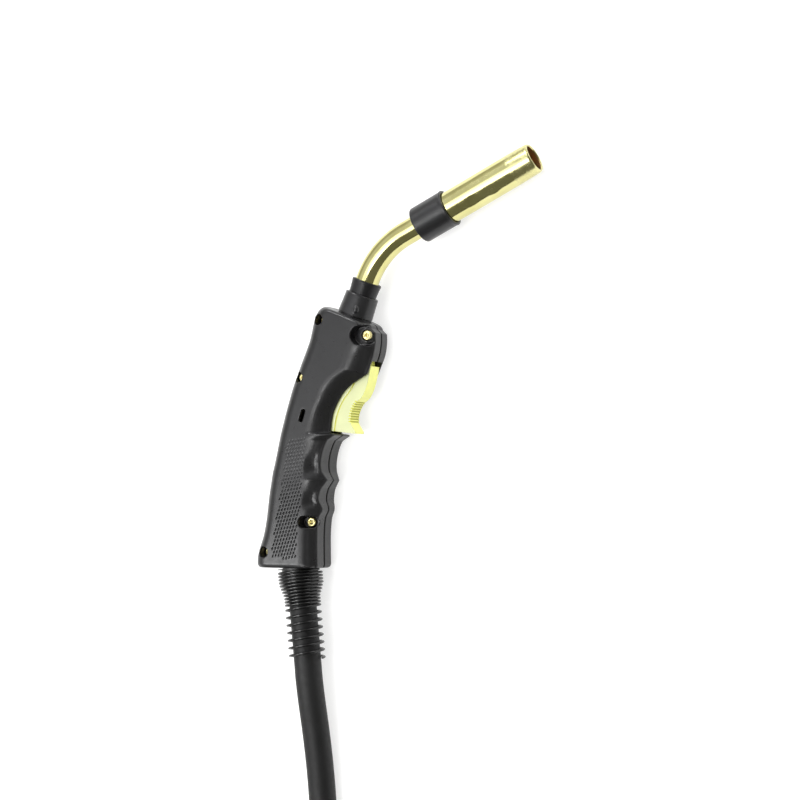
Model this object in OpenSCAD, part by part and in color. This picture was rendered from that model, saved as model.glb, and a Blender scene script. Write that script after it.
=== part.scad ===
/* [Handle] */
// Thickness of the handle across its flat sides
handle_t = 34; // [33:0.5:40]
// Wall of the handle shells
wall = 2.6; // [2.2:0.1:3]
// Radius that rounds the back of the grip, measured along the side
back_r = 12; // [10:0.5:14]
// Small radius along the front edges of the grip
edge_r = 1.4; // [0.8:0.1:2]

/* [Neck] */
// Lean of the neck from the handle's length towards the trigger side
neck_lean = 22; // [18:0.5:25]
// Diameter of the neck tube
neck_d = 17; // [15:0.5:18]
// Wall of the neck tube
neck_wall = 1.5; // [1:0.1:2]
// Angle through which the neck bends
neck_bend = 43; // [30:1:50]
// Radius of the neck's bend at the tube's middle
bend_r = 58; // [50:1:70]
// Straight length of the neck from the handle's top to the bend
neck_straight = 27.5; // [27:0.5:36]
// Length of the neck tube clamped in the handle
neck_grip_l = 34; // [30:0.5:35]
// Outer radius of the copper conductor inside the neck
conductor_r = 5; // [4:0.1:5.2]
// Outer radius of the wire liner
liner_r = 2.4; // [2:0.1:2.5]

/* [Neck collar and sleeve] */
// Height of the wide collar above the handle
collar_h = 16.4; // [12:0.2:18]
// Radius of the wide collar at the handle
collar_r = 12.65; // [12.5:0.05:13]
// Radius of the wide collar at its top
collar_top_r = 11.8; // [11.4:0.1:12.4]
// Radius of the slim sleeve under its flare
sleeve_r = 9.9; // [9.7:0.1:10.4]
// Radius of the slim sleeve at its flared top
sleeve_top_r = 10.75; // [10.5:0.05:11.2]
// Height of the slim sleeve above the wide collar
sleeve_h = 10.2; // [8:0.2:10.4]

/* [Nozzle] */
// Outer diameter of the gas nozzle
nozzle_d = 22.6; // [21.6:0.2:23.4]
// Outer diameter of the gas nozzle at its mouth
mouth_d = 21.6; // [20:0.1:21.6]
// Bore of the gas nozzle
nozzle_bore = 17.8; // [17.4:0.1:18.6]
// Length of the nozzle that stands out of its collar
nozzle_show = 70.2; // [60:0.5:80]
// Distance by which the contact tip stays behind the mouth
tip_recess = 7.5; // [6:0.5:12]
// Outer diameter of the black nozzle collar
nozzle_collar_d = 26.4; // [25.4:0.2:30]
// Length of the black nozzle collar
nozzle_collar_l = 26.2; // [24:0.2:32]
// Straight length of neck between the bend and the nozzle collar
bend_to_collar = 13; // [8:0.5:20]
// Diameter of the contact tip
tip_d = 8; // [7:0.5:9]

/* [Trigger] */
// Width of the trigger across its rims
trigger_w = 14; // [13:0.2:14.2]
// Depth by which the trigger's side faces lie behind its rims
rim_step = 0.4; // [0.2:0.1:0.8]
// Gap on each side of the trigger in its slot
slot_gap = 0.4; // [0.3:0.05:0.5]
// Diameter of the trigger's pivot pin
pin_d = 3; // [2.5:0.1:3.4]
// Number of grip ribs on the trigger
rib_count = 9; // [5:1:12]

/* [Screws] */
// Diameter of a shell screw's head
head_d = 6.6; // [6:0.1:7]
// Height of a shell screw's head
head_h = 2.6; // [2:0.1:3]
// Diameter of a shell screw's shank
shank_d = 3.5; // [3:0.1:4]
// Diameter of the counterbore round a screw head
counterbore_d = 8; // [7.4:0.1:8.4]

/* [Cable] */
// Diameter of the cable
cable_d = 19.5; // [18:0.1:19.8]
// Lean of the cable at the handle's foot towards the trigger side
cable_lean = 5.7; // [3:0.1:8]
// Radius of the support spring's middle line along the cable
spring_r = 12.3; // [12.1:0.1:12.8]
// Radius of the support spring's middle line in its flare at the handle
flare_r = 15.35; // [15.2:0.05:15.6]
// Thickness of the spring wire
spring_wire = 1.8; // [1.5:0.05:1.8]
// Pitch of the spring's close turns
close_pitch = 2.3; // [2.3:0.05:2.6]
// Pitch of the spring's open turns
open_pitch = 5.35; // [4:0.05:6]
// Number of close turns
close_turns = 11; // [9:1:12]
// Number of open turns
open_turns = 7; // [4:1:9]
// Least radius of the coiled cable's middle line
coil_r = 81; // [80:1:110]
// Turns in each half of the coil, below and above its turning point
coil_half_turns = 2; // [2:0.5:3]

/* [Plug] */
// Outer radius of the plug's union nut
nut_r = 24; // [22:0.5:28]
// Length of the union nut
nut_l = 34; // [30:1:40]
// Radius inside the union nut where its thread runs
nut_bore_r = 17.2; // [17:0.1:18]
// Outer radius of the plug's housing
housing_r = 21; // [20:0.5:22]
// Length of the plug's housing
housing_l = 60; // [50:1:70]
// Radius of the plug's brass barrel
barrel_r = 6.5; // [6:0.1:7]
// Length of the barrel in front of the plug's face
barrel_l = 21.5; // [18:0.5:26]
// Radius of a control pin
control_pin_r = 1.5; // [1.2:0.1:1.7]

/* [Hidden] */

// Clearances: a seated fit, a running fit, and the space left round a curved or moving face
fit = 0.05;
seat_gap = 0.3;
liner_gap = 0.2;
lap = 1;

// Heights: the seam between the shells lies at the middle of the handle's thickness
mid_z = handle_t / 2;
cable_r = cable_d / 2;
neck_r = neck_d / 2;

// Where the neck's axis crosses the handle's top, and where the cable's axis crosses its foot
top_p = [44.5, 122.9];
foot_p = [0, -55.5];
neck_dir = [sin(neck_lean), cos(neck_lean)];
front_dir = [cos(neck_lean), -sin(neck_lean)];
foot_dir = [-sin(cable_lean), cos(cable_lean)];

// Handle outline: rear x and y, front x and y, half width of the front band, distance from the
// front to the ridge of the flat side, hollow of the cove (0 full, 1 hollow), steps to the next row
foot_cut = 2.7;
OUTLINE = [
    [-31.6, -52.8, 20.2, -52.8, 11, 9.8, 0, 2],
    [-31, -46, 20, -44, 11, 9.8, 0, 2],
    [-26.5, -32.5, 20, -31, 11, 9.8, 0, 2],
    [-24.2, -21.5, 21, -20, 11, 10.5, 0, 2],
    [-23.2, -14, 23.6, -13.8, 10, 12, 0.1, 2],
    [-22.1, -5, 21.7, -6.5, 12.4, 10, 0.35, 2],
    [-20.7, 4, 23.5, 1.2, 11.5, 11, 0.3, 1],
    [-20, 8, 27.5, 6.9, 9.8, 14, 0.1, 1],
    [-19.2, 12, 24.3, 12.6, 12.2, 11.5, 0.3, 2],
    [-17.4, 19, 23.7, 19.5, 12.8, 10.5, 0.35, 2],
    [-15.5, 27, 25.4, 27.8, 12.6, 11, 0.3, 2],
    [-13.7, 35, 29, 35.2, 12.4, 13, 0.1, 1],
    [-13, 38, 34.4, 38.4, 12.4, 14.5, 0, 1],
    [-12.8, 39, 34.6, 39.4, 12, 14.5, 0, 1],
    [-12.4, 40.6, 29.6, 40.5, 9.4, 11, 0.55, 1],
    [-10.6, 47, 30.3, 47.5, 9.2, 9.6, 0.55, 2],
    [-8.6, 54, 32.2, 55.6, 9.2, 9, 0.55, 2],
    [-5.8, 63, 36.2, 63.2, 9.2, 9.2, 0.55, 2],
    [-2.6, 73, 40.4, 68.9, 9.2, 10.6, 0.55, 2],
    [0.6, 81, 46.2, 73.9, 9.2, 11.6, 0.55, 2],
    [3.6, 88.5, 52.4, 77.6, 9.2, 11.6, 0.55, 1],
    [6.4, 95, 58.8, 81, 9.4, 11.4, 0.55, 1],
    [9.4, 102, 61.6, 87.6, 9.6, 11.4, 0.5, 2],
    [11.8, 108.5, 64.4, 95, 10, 12, 0.3, 2],
    [13.6, 116, 65.8, 103, 10, 8.6, 0, 2],
    [15.6, 123.8, 65.8, 110, 10, 7, 0, 1]];
top_back = 25.6;
top_front = 19.4;
end_round = 2.4;

// Shell screws: place, and height of the head's seat over the seam; boss radius, reach past the seam
SCREWS = [[23.4, 120.5, 3.6], [61.3, 108, 11.2], [7, 80, 5.8], [14.2, -22.8, 6.4], [-21, -44.2, 5.2]];
boss_r = counterbore_d / 2 + 1.2;
screw_reach = 9;
key_r = 1.5;
key_depth = 1.4;

// Recesses of the near side: a D round the nose screw, an oblong at the grip screw, a leaning slot.
// Each one's floor lies over the seam, on a pad that closes it off from the hollow.
nose_floor = 9;
nose_ring = 14;
nose_r = 7.4;
nose_tail_r = 6.8;
nose_tail = 5;
nose_pad_r = 10.9;
grip_floor = 7.2;
grip_half = 2.3;
grip_w = counterbore_d + 0.5;
grip_pad_r = 8.4;
pad_t = 2;
slot_p = [11, 52.6];
slot_w = 3.2;
slot_run = 6.6;
slot_lean = 18;

// Nozzle line: distances from the end of the neck's bend
collar_back_d = bend_to_collar;
collar_front_d = collar_back_d + nozzle_collar_l;
mouth_at = collar_front_d + nozzle_show;
nozzle_back_d = collar_front_d - 8.3;
tube_end_d = nozzle_back_d - 1.2;
bush_l = 15;
bush_from = nozzle_back_d - seat_gap + fit;
catch_r = 0.55;
diffuser_l = 11;
gas_hole_r = 0.9;
holder_back_d = tube_end_d + 4;
catch_d = holder_back_d + 4;
holder_r = 6;
thread_r = 3;
thread_l = 10;
tip_end_d = mouth_at - tip_recess;
holder_front_d = holder_back_d + 28;
nozzle_r = nozzle_d / 2;
bore_r = nozzle_bore / 2;
bush_r = bore_r - fit;
insulation_r = neck_r - neck_wall - fit;

// Sides of the neck's nested tubes, which share them so that they nest, and steps along a bend
tube_sides = 32;
bend_steps = 9;

// Inside the handle, along the neck's axis below the handle's top
block_r = 7.7;
block_end = -75;
block_seat = 14;
cable_nut_r = 9.2;
cable_nut_end = -86;
ferrule_r = 11;
ferrule_top = -88;
ferrule_end = -104;
ferrule_cap = 2;
stem_r = 6;
// the small round bump on the collar's near side, and the ribs that hold neck, switch and cable seat
bump_t = 6;
bump_turn = 66;
bump_r = 2.2;
saddle_top = -14;
saddle_l = 10;
flange_r = 13.9;
hole_gap = 0.2;
collar_stem_r = collar_r - 0.5;
saddle_half = neck_r + 4.5;
rib_t = 2.4;
rib_side = 2;
post_r = 2;
post_p = 12.4;
POST_T = [-41, -33];
seat_neck_r = 12.4;
seat_flange_top = foot_cut + 4.6;

// The lead-in bends from the neck's axis to the foot's axis
function cross2(a, b) = a[0] * b[1] - a[1] * b[0];
turn = neck_lean + cable_lean;
corner_t = cross2(foot_p - top_p, foot_dir) / cross2(neck_dir, foot_dir);
corner_w = cross2(foot_p - top_p, neck_dir) / cross2(neck_dir, foot_dir);
lead_tangent = ferrule_end - corner_t;
lead_bend_r = lead_tangent / tan(turn / 2);
lead_straight = corner_w - lead_tangent;

// Trigger: pivot, finger arc, and the switch in front of the neck
pivot_p = [54.5, 94.5];
arc_c = [63.5, 48.9];
arc_r = 18.7;
arc_from = 132;
arc_to = 187;
trigger_wall = 1.8;
hub_r = 4;
pin_l = 20;
TRIGGER_SLOT = [[22, 41.3], [29.6, 40.45], [37, 39.4], [80, 36], [80, 86.6], [66.5, 88.9], [62, 90.1],
    [60.8, 94], [56, 98.2], [50, 98.2], [48.5, 88.6], [43.6, 78.4], [36, 74], [30, 67], [26, 58], [23, 50]];
switch_t = -48;
switch_l = 18;
switch_back = 8.9;
switch_front = 16.8;
switch_half = 4.9;
plunger_t = -38.5;
plunger_r = 1.5;
plunger_back = 13;
plunger_tip = 19;
plunger_travel = 1.6;

// Support spring: it starts under the foot and flares over the seat's spigot
spring_start = 1.3;
flare_turns = 4;
taper_turns = 4;
spring_steps = 8;
close_l = close_turns * close_pitch;
spring_l = close_l + open_turns * open_pitch;

// Cable route on the bench: the first points follow the foot's axis, the rest are laid by hand
tie_t = 1.2;
cable_floor = cable_r + tie_t + seat_gap;
ROUTE = [[9.6, -150, 16.2], [11.4, -168, 14.2], [13, -186, 12.4], [14.4, -204, 11.1], [15.6, -222, 10.4],
    [16.8, -242, 10.1], [17.9, -264, 10.1], [18.9, -287, 10.4], [19.6, -308, 10.9], [19.9, -326, 11.2]];
coil_start_y = -362;
coil_pitch = cable_d + 0.7;
coil_rise = cable_d + 0.9;
coil_steps = 24;
coil_span = coil_half_turns * 360;
function coil_radius(a) = coil_r + coil_pitch * (sqrt(a * a + 400) - 20) / 360;
coil_out_r = coil_radius(coil_span);
coil_c = [20 + coil_out_r, coil_start_y];
plug_z = nut_r + 0.2;
run_flat = 46;
run_l = 104;
TIE_AT = [0, 120, 245];

// Plug: distances along its axis from the housing's back
relief_l = 46;
relief_in = 8;
face_back = housing_l + 1;
face_l = 9;
nut_back = housing_l + 0.4;
housing_floor = 6;
shell_in_r = 15;
waist_r = housing_r - 2.4;
nut_from = nut_back - 9;
nut_to = nut_from + nut_l;
control_x = 5.6;
control_y = 13.4;
control_out = 12;
pin_floor = 2;
pin_back = 5.4;

// ---- helpers ----

// Catmull-Rom value between b and c
function spline(a, b, c, d, s) =
    b + 0.5 * s * (c - a + s * (2 * a - 5 * b + 4 * c - d + s * (3 * (b - c) + d - a)));
function row(k) = OUTLINE[max(0, min(len(OUTLINE) - 1, k))];
function smooth_row(k, s) = spline(row(k - 1), row(k), row(k + 1), row(k + 2), s);
function top_row(t, back, front, trim) = let(
        r = top_p + t * neck_dir - back * front_dir,
        f = top_p + t * neck_dir + front * front_dir)
    [r[0], r[1], f[0], f[1], 10 - trim, 7, 0, 1];

// Every station of the handle from the foot to the top, with its half thickness as item 8
last_row = len(OUTLINE) - 1;
STATIONS = concat(
    [[-29, foot_p[1], 18.2, foot_p[1], 11 - end_round, 6, 0, 1, mid_z - end_round]],
    [for (k = [0:last_row]) for (m = [0:(k < last_row ? row(k)[7] : 1) - 1])
        let(v = smooth_row(k, m / row(k)[7])) [for (i = [0:8]) i < 8 ? v[i] : mid_z]],
    [let(v = top_row(-end_round, top_back, top_front + 1, 0)) [for (i = [0:8]) i < 8 ? v[i] : mid_z]],
    [let(v = top_row(0, top_back - end_round, top_front - end_round, end_round))
        [for (i = [0:8]) i < 8 ? v[i] : mid_z - end_round]]);

// Height over the seam between the front band (s = 0) and the ridge (s = 1)
function cove(s, hollow) = (1 - hollow) * (1 - pow(1 - s, 2)) + hollow * pow(s, 2.2);

// Half section of one station: distance from the rear and height over the seam
function profile(v) = let(
        l = norm([v[2] - v[0], v[3] - v[1]]), h = v[8], band = v[4], reach = v[5] - edge_r)
    concat(
        [for (a = [0:18:90]) [back_r * (1 - cos(a)), h * sin(a)]],
        [for (k = [5:-1:0]) [l - edge_r - reach * k / 5, band + (h - band) * cove(k / 5, v[6])]],
        [[l - 0.3 * edge_r, band - 0.3 * edge_r], [l, band - edge_r], [l, 0]]);

function station_point(v, q, side) = let(
        l = norm([v[2] - v[0], v[3] - v[1]]),
        u = [v[2] - v[0], v[3] - v[1]] / l)
    [v[0] + u[0] * q[0], v[1] + u[1] * q[0], mid_z + side * q[1]];

// Two triangles for each cell of a grid of rows, each row closed on itself
function grid_faces(rows, n, flip) = [for (j = [0:rows - 2]) for (i = [0:n - 1]) for (h = [0, 1])
    let(a = j * n + i, b = j * n + (i + 1) % n, c = a + n, d = b + n,
        f = h == 0 ? [a, b, d] : [a, d, c])
    flip ? [f[2], f[1], f[0]] : f];
function cap(first, n, flip) = [for (i = [1:n - 2]) flip
    ? [first, first + i + 1, first + i] : [first, first + i, first + i + 1]];

// The full half of the handle on one side of the seam (side 1 above it, -1 below)
module half_body(side) {
    rings = [for (v = STATIONS) [for (q = profile(v)) station_point(v, q, side)]];
    n = len(rings[0]);
    rows = len(rings);
    polyhedron(points = [for (r = rings) each r],
        faces = concat(grid_faces(rows, n, side > 0), cap(0, n, side < 0), cap((rows - 1) * n, n, side > 0)),
        convexity = 6);
}

// Outline of the hollow at one level: it keeps the wall at the rear and a share of the cove in front,
// and its corners lie between the stations of the outside
hollow_shift = 0.6;
function across(v) = [v[2] - v[0], v[3] - v[1]] / norm([v[2] - v[0], v[3] - v[1]]);
function between(p, u) = p + hollow_shift * [-u[1], u[0]];
function hollow_front(j, share) = let(
        near = [for (k = [-2:2]) STATIONS[max(1, min(len(STATIONS) - 2, j + k))][2]],
        v = STATIONS[j], u = across(v), in = wall + v[5] * (share[0] + share[1] * v[6]))
    between([min(v[2], min(near) + 3), v[3]] - u * in, u);
function hollow_back(j, in) = let(v = STATIONS[j], u = across(v)) between([v[0], v[1]] + u * in, u);
module hollow_level(top, back_in, share) {
    n = len(STATIONS);
    linear_extrude(height = top + lap, convexity = 6) polygon(concat(
        [for (j = [1:n - 2]) hollow_back(j, back_in)],
        [for (j = [n - 2:-1:1]) hollow_front(j, share)]));
}
level_1 = trigger_w / 2 + slot_gap + 0.2;
level_2 = 11;
level_3 = mid_z - wall;
module hollow() {
    translate([0, 0, -lap]) hollow_level(level_1, wall + 1.5, [0, 0]);
    translate([0, 0, -lap]) hollow_level(level_2, wall + 3.2, [0.25, 0.5]);
    translate([0, 0, -lap]) hollow_level(level_3, wall + 6.4, [0.75, 0.25]);
}

module on_neck(t) {
    translate([top_p[0], top_p[1], mid_z]) rotate([0, 0, -neck_lean]) rotate([-90, 0, 0])
        translate([0, 0, t]) children();
}
module on_nozzle(d) {
    translate([top_p[0], top_p[1], mid_z]) rotate([0, 0, -neck_lean]) translate([bend_r, neck_straight, 0])
        rotate([0, 0, -neck_bend]) translate([-bend_r, d, 0]) rotate([-90, 0, 0]) children();
}
module on_foot(d) {
    translate([foot_p[0], foot_p[1], mid_z]) rotate([0, 0, cable_lean]) rotate([90, 0, 0])
        translate([0, 0, d]) children();
}
module on_plug(d) {
    translate([plug_p[0], plug_p[1], plug_z]) rotate([90, 0, 0]) translate([0, 0, d]) children();
}
module pipe(outer, inner, from, to) {
    translate([0, 0, from]) difference() {
        cylinder(r = outer, h = to - from, $fn = 64);
        translate([0, 0, -lap]) cylinder(r = inner, h = to - from + 2 * lap, $fn = 64);
    }
}

module in_bend() {
    translate([top_p[0], top_p[1], mid_z]) rotate([0, 0, -neck_lean]) translate([0, neck_straight, 0])
        children();
}
// Middle line of a bar that runs straight, bends to the right and runs on; the bend starts at the origin
function bent_path(before, after, bend, angle) = concat([[0, -before, 0]],
    [for (k = [0:bend_steps]) let(a = angle * k / bend_steps) [bend - bend * cos(a), bend * sin(a), 0]],
    [[bend - bend * cos(angle) + after * sin(angle), bend * sin(angle) + after * cos(angle), 0]]);

// Tube of n sides through a list of middle points, square to its path
function unit(v) = v / norm(v);
function tangent(p, i) = unit(p[min(i + 1, len(p) - 1)] - p[max(i - 1, 0)]);
function ring(p, i, r, n, first) = let(
        t = tangent(p, i), s = unit(cross([0, 0, 1], t)), w = cross(t, s))
    [for (k = [0:n - 1]) let(a = first + 360 * k / n) p[i] + r * (cos(a) * s + sin(a) * w)];
module tube(p, r, n, first = 0) {
    rows = len(p);
    polyhedron(points = [for (i = [0:rows - 1]) each ring(p, i, r, n, first)],
        faces = concat(grid_faces(rows, n, true), cap(0, n, false), cap((rows - 1) * n, n, true)),
        convexity = 10);
}
// The same with a bore: the outer rings come first, then the inner ones, joined at both ends
module hollow_tube(p, r, bore, n) {
    rows = len(p);
    inner = rows * n;
    last = (rows - 1) * n;
    polyhedron(points = concat([for (i = [0:rows - 1]) each ring(p, i, r, n, 0)],
            [for (i = [0:rows - 1]) each ring(p, i, bore, n, 0)]),
        faces = concat(grid_faces(rows, n, true),
            [for (f = grid_faces(rows, n, false)) [f[0] + inner, f[1] + inner, f[2] + inner]],
            [for (i = [0:n - 1]) each let(j = (i + 1) % n) [
                [i, inner + j, inner + i], [i, j, inner + j],
                [last + i, inner + last + i, inner + last + j], [last + i, inner + last + j, last + j]]]),
        convexity = 10);
}

// ---- handle ----

module screw_bosses() {
    for (k = [0:len(SCREWS) - 1]) translate(screw_p(k)) cylinder(r = boss_r, h = mid_z, $fn = 48);
}
module pin_boss() {
    translate([pivot_p[0], pivot_p[1], trigger_w / 2 + slot_gap]) cylinder(r = hub_r, h = mid_z, $fn = 48);
}
// Ribs that carry the neck, the switch and the cable seat
module neck_saddle() {
    translate([top_p[0], top_p[1], 0]) rotate([0, 0, -neck_lean])
        translate([-saddle_half, saddle_top - saddle_l, -lap]) cube([2 * saddle_half, saddle_l, mid_z + lap]);
}
module switch_posts() {
    for (t = POST_T) translate([top_p[0], top_p[1], 0]) rotate([0, 0, -neck_lean])
        translate([post_p, t, switch_half + fit]) cylinder(r = post_r, h = mid_z, $fn = 32);
}
module cradle_rib(t, r) {
    translate([top_p[0], top_p[1], 0]) rotate([0, 0, -neck_lean])
        translate([-r - rib_side, t, -lap]) cube([2 * (r + rib_side), rib_t, mid_z + lap]);
}
module foot_rib() {
    translate([foot_p[0], foot_p[1], 0]) rotate([0, 0, cable_lean])
        translate([-flange_r - rib_side, seat_flange_top + fit, -lap])
            cube([2 * (flange_r + rib_side), rib_t, mid_z + lap]);
}

// Everything bored or cut through one half, drawn with the seam at z = 0 and the side towards +z
module half_cuts() {
    through = wall + end_round;
    translate([0, 0, -mid_z]) {
        on_neck(saddle_top - saddle_l - lap) cylinder(r = neck_r + fit, h = saddle_l + 2 * lap, $fn = 64);
        on_neck(-through) cylinder(r = collar_stem_r + hole_gap, h = through + lap, $fn = 64);
        on_neck(saddle_top) cylinder(r = flange_r + fit, h = -saddle_top - through, $fn = 64);
        on_neck(ferrule_end - lap)
            cylinder(r = ferrule_r + fit, h = ferrule_top - ferrule_end + 2 * lap, $fn = 64);
        on_foot(-through) cylinder(r = seat_neck_r + hole_gap, h = through + lap, $fn = 64);
        on_foot(-fit) cylinder(r = flare_r + spring_wire / 2 + seat_gap, h = end_round + lap, $fn = 64);
        on_foot(-seat_flange_top - rib_t - lap) cylinder(r = cable_r + fit, h = rib_t + 2 * lap, $fn = 64);
    }
    linear_extrude(height = trigger_w + 2 * slot_gap, center = true) polygon(TRIGGER_SLOT);
    translate([pivot_p[0], pivot_p[1], -lap])
        cylinder(r = pin_d / 2 + fit, h = lap + pin_l / 2 + seat_gap, $fn = 48);
}
module grip_slot() {
    translate([slot_p[0], slot_p[1], level_3 - lap]) rotate([0, 0, -slot_lean])
        linear_extrude(height = mid_z) union() {
            square([slot_w, slot_run], center = true);
            for (y = [-0.5, 0.5]) translate([0, y * slot_run]) circle(d = slot_w, $fn = 32);
        }
}
// Place of screw k on the seam
function screw_p(k) = [SCREWS[k][0], SCREWS[k][1], 0];
// Recess round the screw over the trigger; a low ring is left standing round the screw
module nose_recess() {
    translate(screw_p(1)) difference() {
        translate([0, 0, nose_floor]) linear_extrude(height = mid_z) union() {
            circle(r = nose_r, $fn = 64);
            translate([-nose_tail, 0]) circle(r = nose_tail_r, $fn = 64);
        }
        cylinder(r = boss_r, h = nose_ring, $fn = 48);
    }
}
module grip_recess() {
    translate(screw_p(3) + [0, 0, grip_floor]) linear_extrude(height = mid_z) union() {
        square([2 * grip_half, grip_w], center = true);
        for (x = [-grip_half, grip_half]) translate([x, 0]) circle(d = grip_w, $fn = 48);
    }
}
module recess_pads() {
    translate(screw_p(1) + [-nose_tail / 2, 0, nose_floor - pad_t]) cylinder(r = nose_pad_r, h = mid_z, $fn = 64);
    translate(screw_p(3) + [0, 0, grip_floor - pad_t]) cylinder(r = grip_pad_r, h = mid_z, $fn = 64);
}
// Holes for the shanks, with the heads' counterbores on the near side
module screw_holes(heads) {
    for (k = [0:len(SCREWS) - 1]) translate(screw_p(k)) {
        reach = heads ? SCREWS[k][2] : screw_reach + 2 * seat_gap;
        translate([0, 0, -lap]) cylinder(d = shank_d + 2 * fit, h = reach + 2 * lap, $fn = 48);
        if (heads) translate([0, 0, SCREWS[k][2]]) cylinder(d = counterbore_d, h = mid_z, $fn = 48);
    }
}
module half_shell(heads) {
    difference() {
        translate([0, 0, -mid_z]) half_body(1);
        difference() {
            hollow();
            screw_bosses();
            pin_boss();
            neck_saddle();
            switch_posts();
            cradle_rib(ferrule_end + 2, ferrule_r);
            cradle_rib(ferrule_top - 4, ferrule_r);
            foot_rib();
            if (heads) recess_pads();
        }
        half_cuts();
        screw_holes(heads);
        if (heads) {
            nose_recess();
            grip_recess();
            grip_slot();
        }
    }
}
module upper_shell() {
    color([0.24, 0.24, 0.25]) translate([0, 0, mid_z]) half_shell(true);
}
module lower_shell() {
    color([0.24, 0.24, 0.25]) translate([0, 0, mid_z]) mirror([0, 0, 1]) half_shell(false);
}
module shell_screws() {
    color([0.8, 0.68, 0.35]) for (p = SCREWS) translate([p[0], p[1], mid_z]) difference() {
        union() {
            translate([0, 0, p[2]]) cylinder(d = head_d, h = head_h, $fn = 48);
            translate([0, 0, -screw_reach]) cylinder(d = shank_d, h = p[2] + screw_reach + head_h / 2, $fn = 48);
        }
        translate([0, 0, p[2] + head_h - key_depth]) rotate([0, 0, 20])
            cylinder(r = key_r, h = key_depth + lap, $fn = 6);
    }
}

// ---- neck ----

module neck_collar() {
    step_gap = 0.6;
    color([0.13, 0.13, 0.14]) union() {
        on_neck(0) rotate_extrude($fn = 96) polygon([
            [sleeve_r + fit, saddle_top + fit], [flange_r, saddle_top + fit],
            [flange_r, -wall - end_round - fit], [collar_stem_r, -wall - end_round - fit],
            [collar_stem_r, step_gap], [collar_r, step_gap], [collar_top_r, collar_h - 0.8],
            [collar_top_r - 0.8, collar_h], [sleeve_r + fit, collar_h]]);
        on_neck(bump_t) rotate([0, 0, -bump_turn]) translate([collar_r - 1, 0, 0]) rotate([0, 90, 0])
            cylinder(r1 = bump_r, r2 = bump_r - 1, h = 1.5, $fn = 32);
    }
}
module neck_sleeve() {
    color([0.13, 0.13, 0.14]) on_neck(0) rotate_extrude($fn = 96) polygon([
        [neck_r + fit, saddle_top + fit], [sleeve_r, saddle_top + fit], [sleeve_r, collar_h],
        [sleeve_r + 0.1, collar_h + 2], [sleeve_top_r, collar_h + sleeve_h - 0.6],
        [sleeve_top_r - 0.5, collar_h + sleeve_h], [neck_r + fit, collar_h + sleeve_h]]);
}
module neck_tube() {
    color([0.82, 0.72, 0.38]) in_bend() hollow_tube(bent_path(neck_straight + neck_grip_l, tube_end_d,
        bend_r, neck_bend), neck_r, neck_r - neck_wall, tube_sides);
}
module neck_insulation() {
    color([0.92, 0.92, 0.9]) in_bend() hollow_tube(bent_path(neck_straight + neck_grip_l, tube_end_d + 0.6,
        bend_r, neck_bend), insulation_r, conductor_r + fit, tube_sides);
}
module inner_conductor() {
    color([0.72, 0.42, 0.25]) in_bend() hollow_tube(bent_path(neck_straight + neck_grip_l + block_seat,
        holder_back_d, bend_r, neck_bend), conductor_r, liner_r + liner_gap, tube_sides);
}
module wire_liner() {
    color([0.55, 0.56, 0.58]) in_bend() hollow_tube(bent_path(neck_straight - cable_nut_end - 2,
        holder_front_d - thread_l - 1, bend_r, neck_bend), liner_r, liner_r - 1.2, 12);
}
module neck_block() {
    color([0.8, 0.68, 0.35]) on_neck(0) rotate_extrude($fn = 96) polygon([
        [conductor_r + fit, -neck_grip_l - fit], [block_r, -neck_grip_l - fit], [block_r, block_end],
        [liner_r + fit, block_end], [liner_r + fit, -neck_grip_l - block_seat - fit],
        [conductor_r + fit, -neck_grip_l - block_seat - fit]]);
}
module cable_nut() {
    color([0.8, 0.68, 0.35]) on_neck(cable_nut_end) difference() {
        cylinder(r = cable_nut_r, h = block_end - cable_nut_end, $fn = 6);
        translate([0, 0, -lap])
            cylinder(r = liner_r + fit, h = block_end - cable_nut_end + 2 * lap, $fn = 48);
    }
}
module cable_ferrule() {
    color([0.72, 0.5, 0.3]) on_neck(0) rotate_extrude($fn = 96) polygon([
        [cable_r + fit, ferrule_end], [ferrule_r, ferrule_end], [ferrule_r, ferrule_top],
        [stem_r, ferrule_top], [stem_r, cable_nut_end], [0, cable_nut_end], [0, ferrule_top - ferrule_cap],
        [cable_r + fit, ferrule_top - ferrule_cap]]);
}
module cable_lead_in() {
    start = foot_p + lead_straight * foot_dir;
    color([0.1, 0.1, 0.1]) translate([start[0], start[1], mid_z]) rotate([0, 0, cable_lean])
        tube(bent_path(lead_straight, ferrule_top - ferrule_cap - ferrule_end - fit, lead_bend_r, turn),
            cable_r, 20);
}

// ---- nozzle ----

module nozzle_collar() {
    lip_l = 1.6;
    color([0.15, 0.15, 0.16]) on_nozzle(0) rotate_extrude($fn = 96) polygon([
        [neck_r + fit, collar_back_d + 0.4], [neck_r + 0.5, collar_back_d],
        [nozzle_collar_d / 2 - 0.6, collar_back_d], [nozzle_collar_d / 2, collar_back_d + 0.6],
        [nozzle_collar_d / 2, collar_front_d - lip_l], [nozzle_collar_d / 2 + 0.35, collar_front_d - 0.3],
        [nozzle_collar_d / 2, collar_front_d], [nozzle_r + 0.6, collar_front_d],
        [nozzle_r + fit, collar_front_d - 0.6], [nozzle_r + fit, nozzle_back_d - seat_gap],
        [neck_r + fit, nozzle_back_d - seat_gap]]);
}
module gas_nozzle() {
    taper_l = 17;
    color([0.82, 0.72, 0.38]) on_nozzle(0) rotate_extrude($fn = 96) polygon([
        [bore_r, nozzle_back_d + 0.5], [bore_r + 0.5, nozzle_back_d], [nozzle_r - 0.4, nozzle_back_d],
        [nozzle_r, nozzle_back_d + 0.4], [nozzle_r, mouth_at - taper_l], [mouth_d / 2, mouth_at - 0.4],
        [mouth_d / 2 - 0.4, mouth_at], [bore_r + 0.3, mouth_at], [bore_r, mouth_at - 0.3]]);
}
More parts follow.
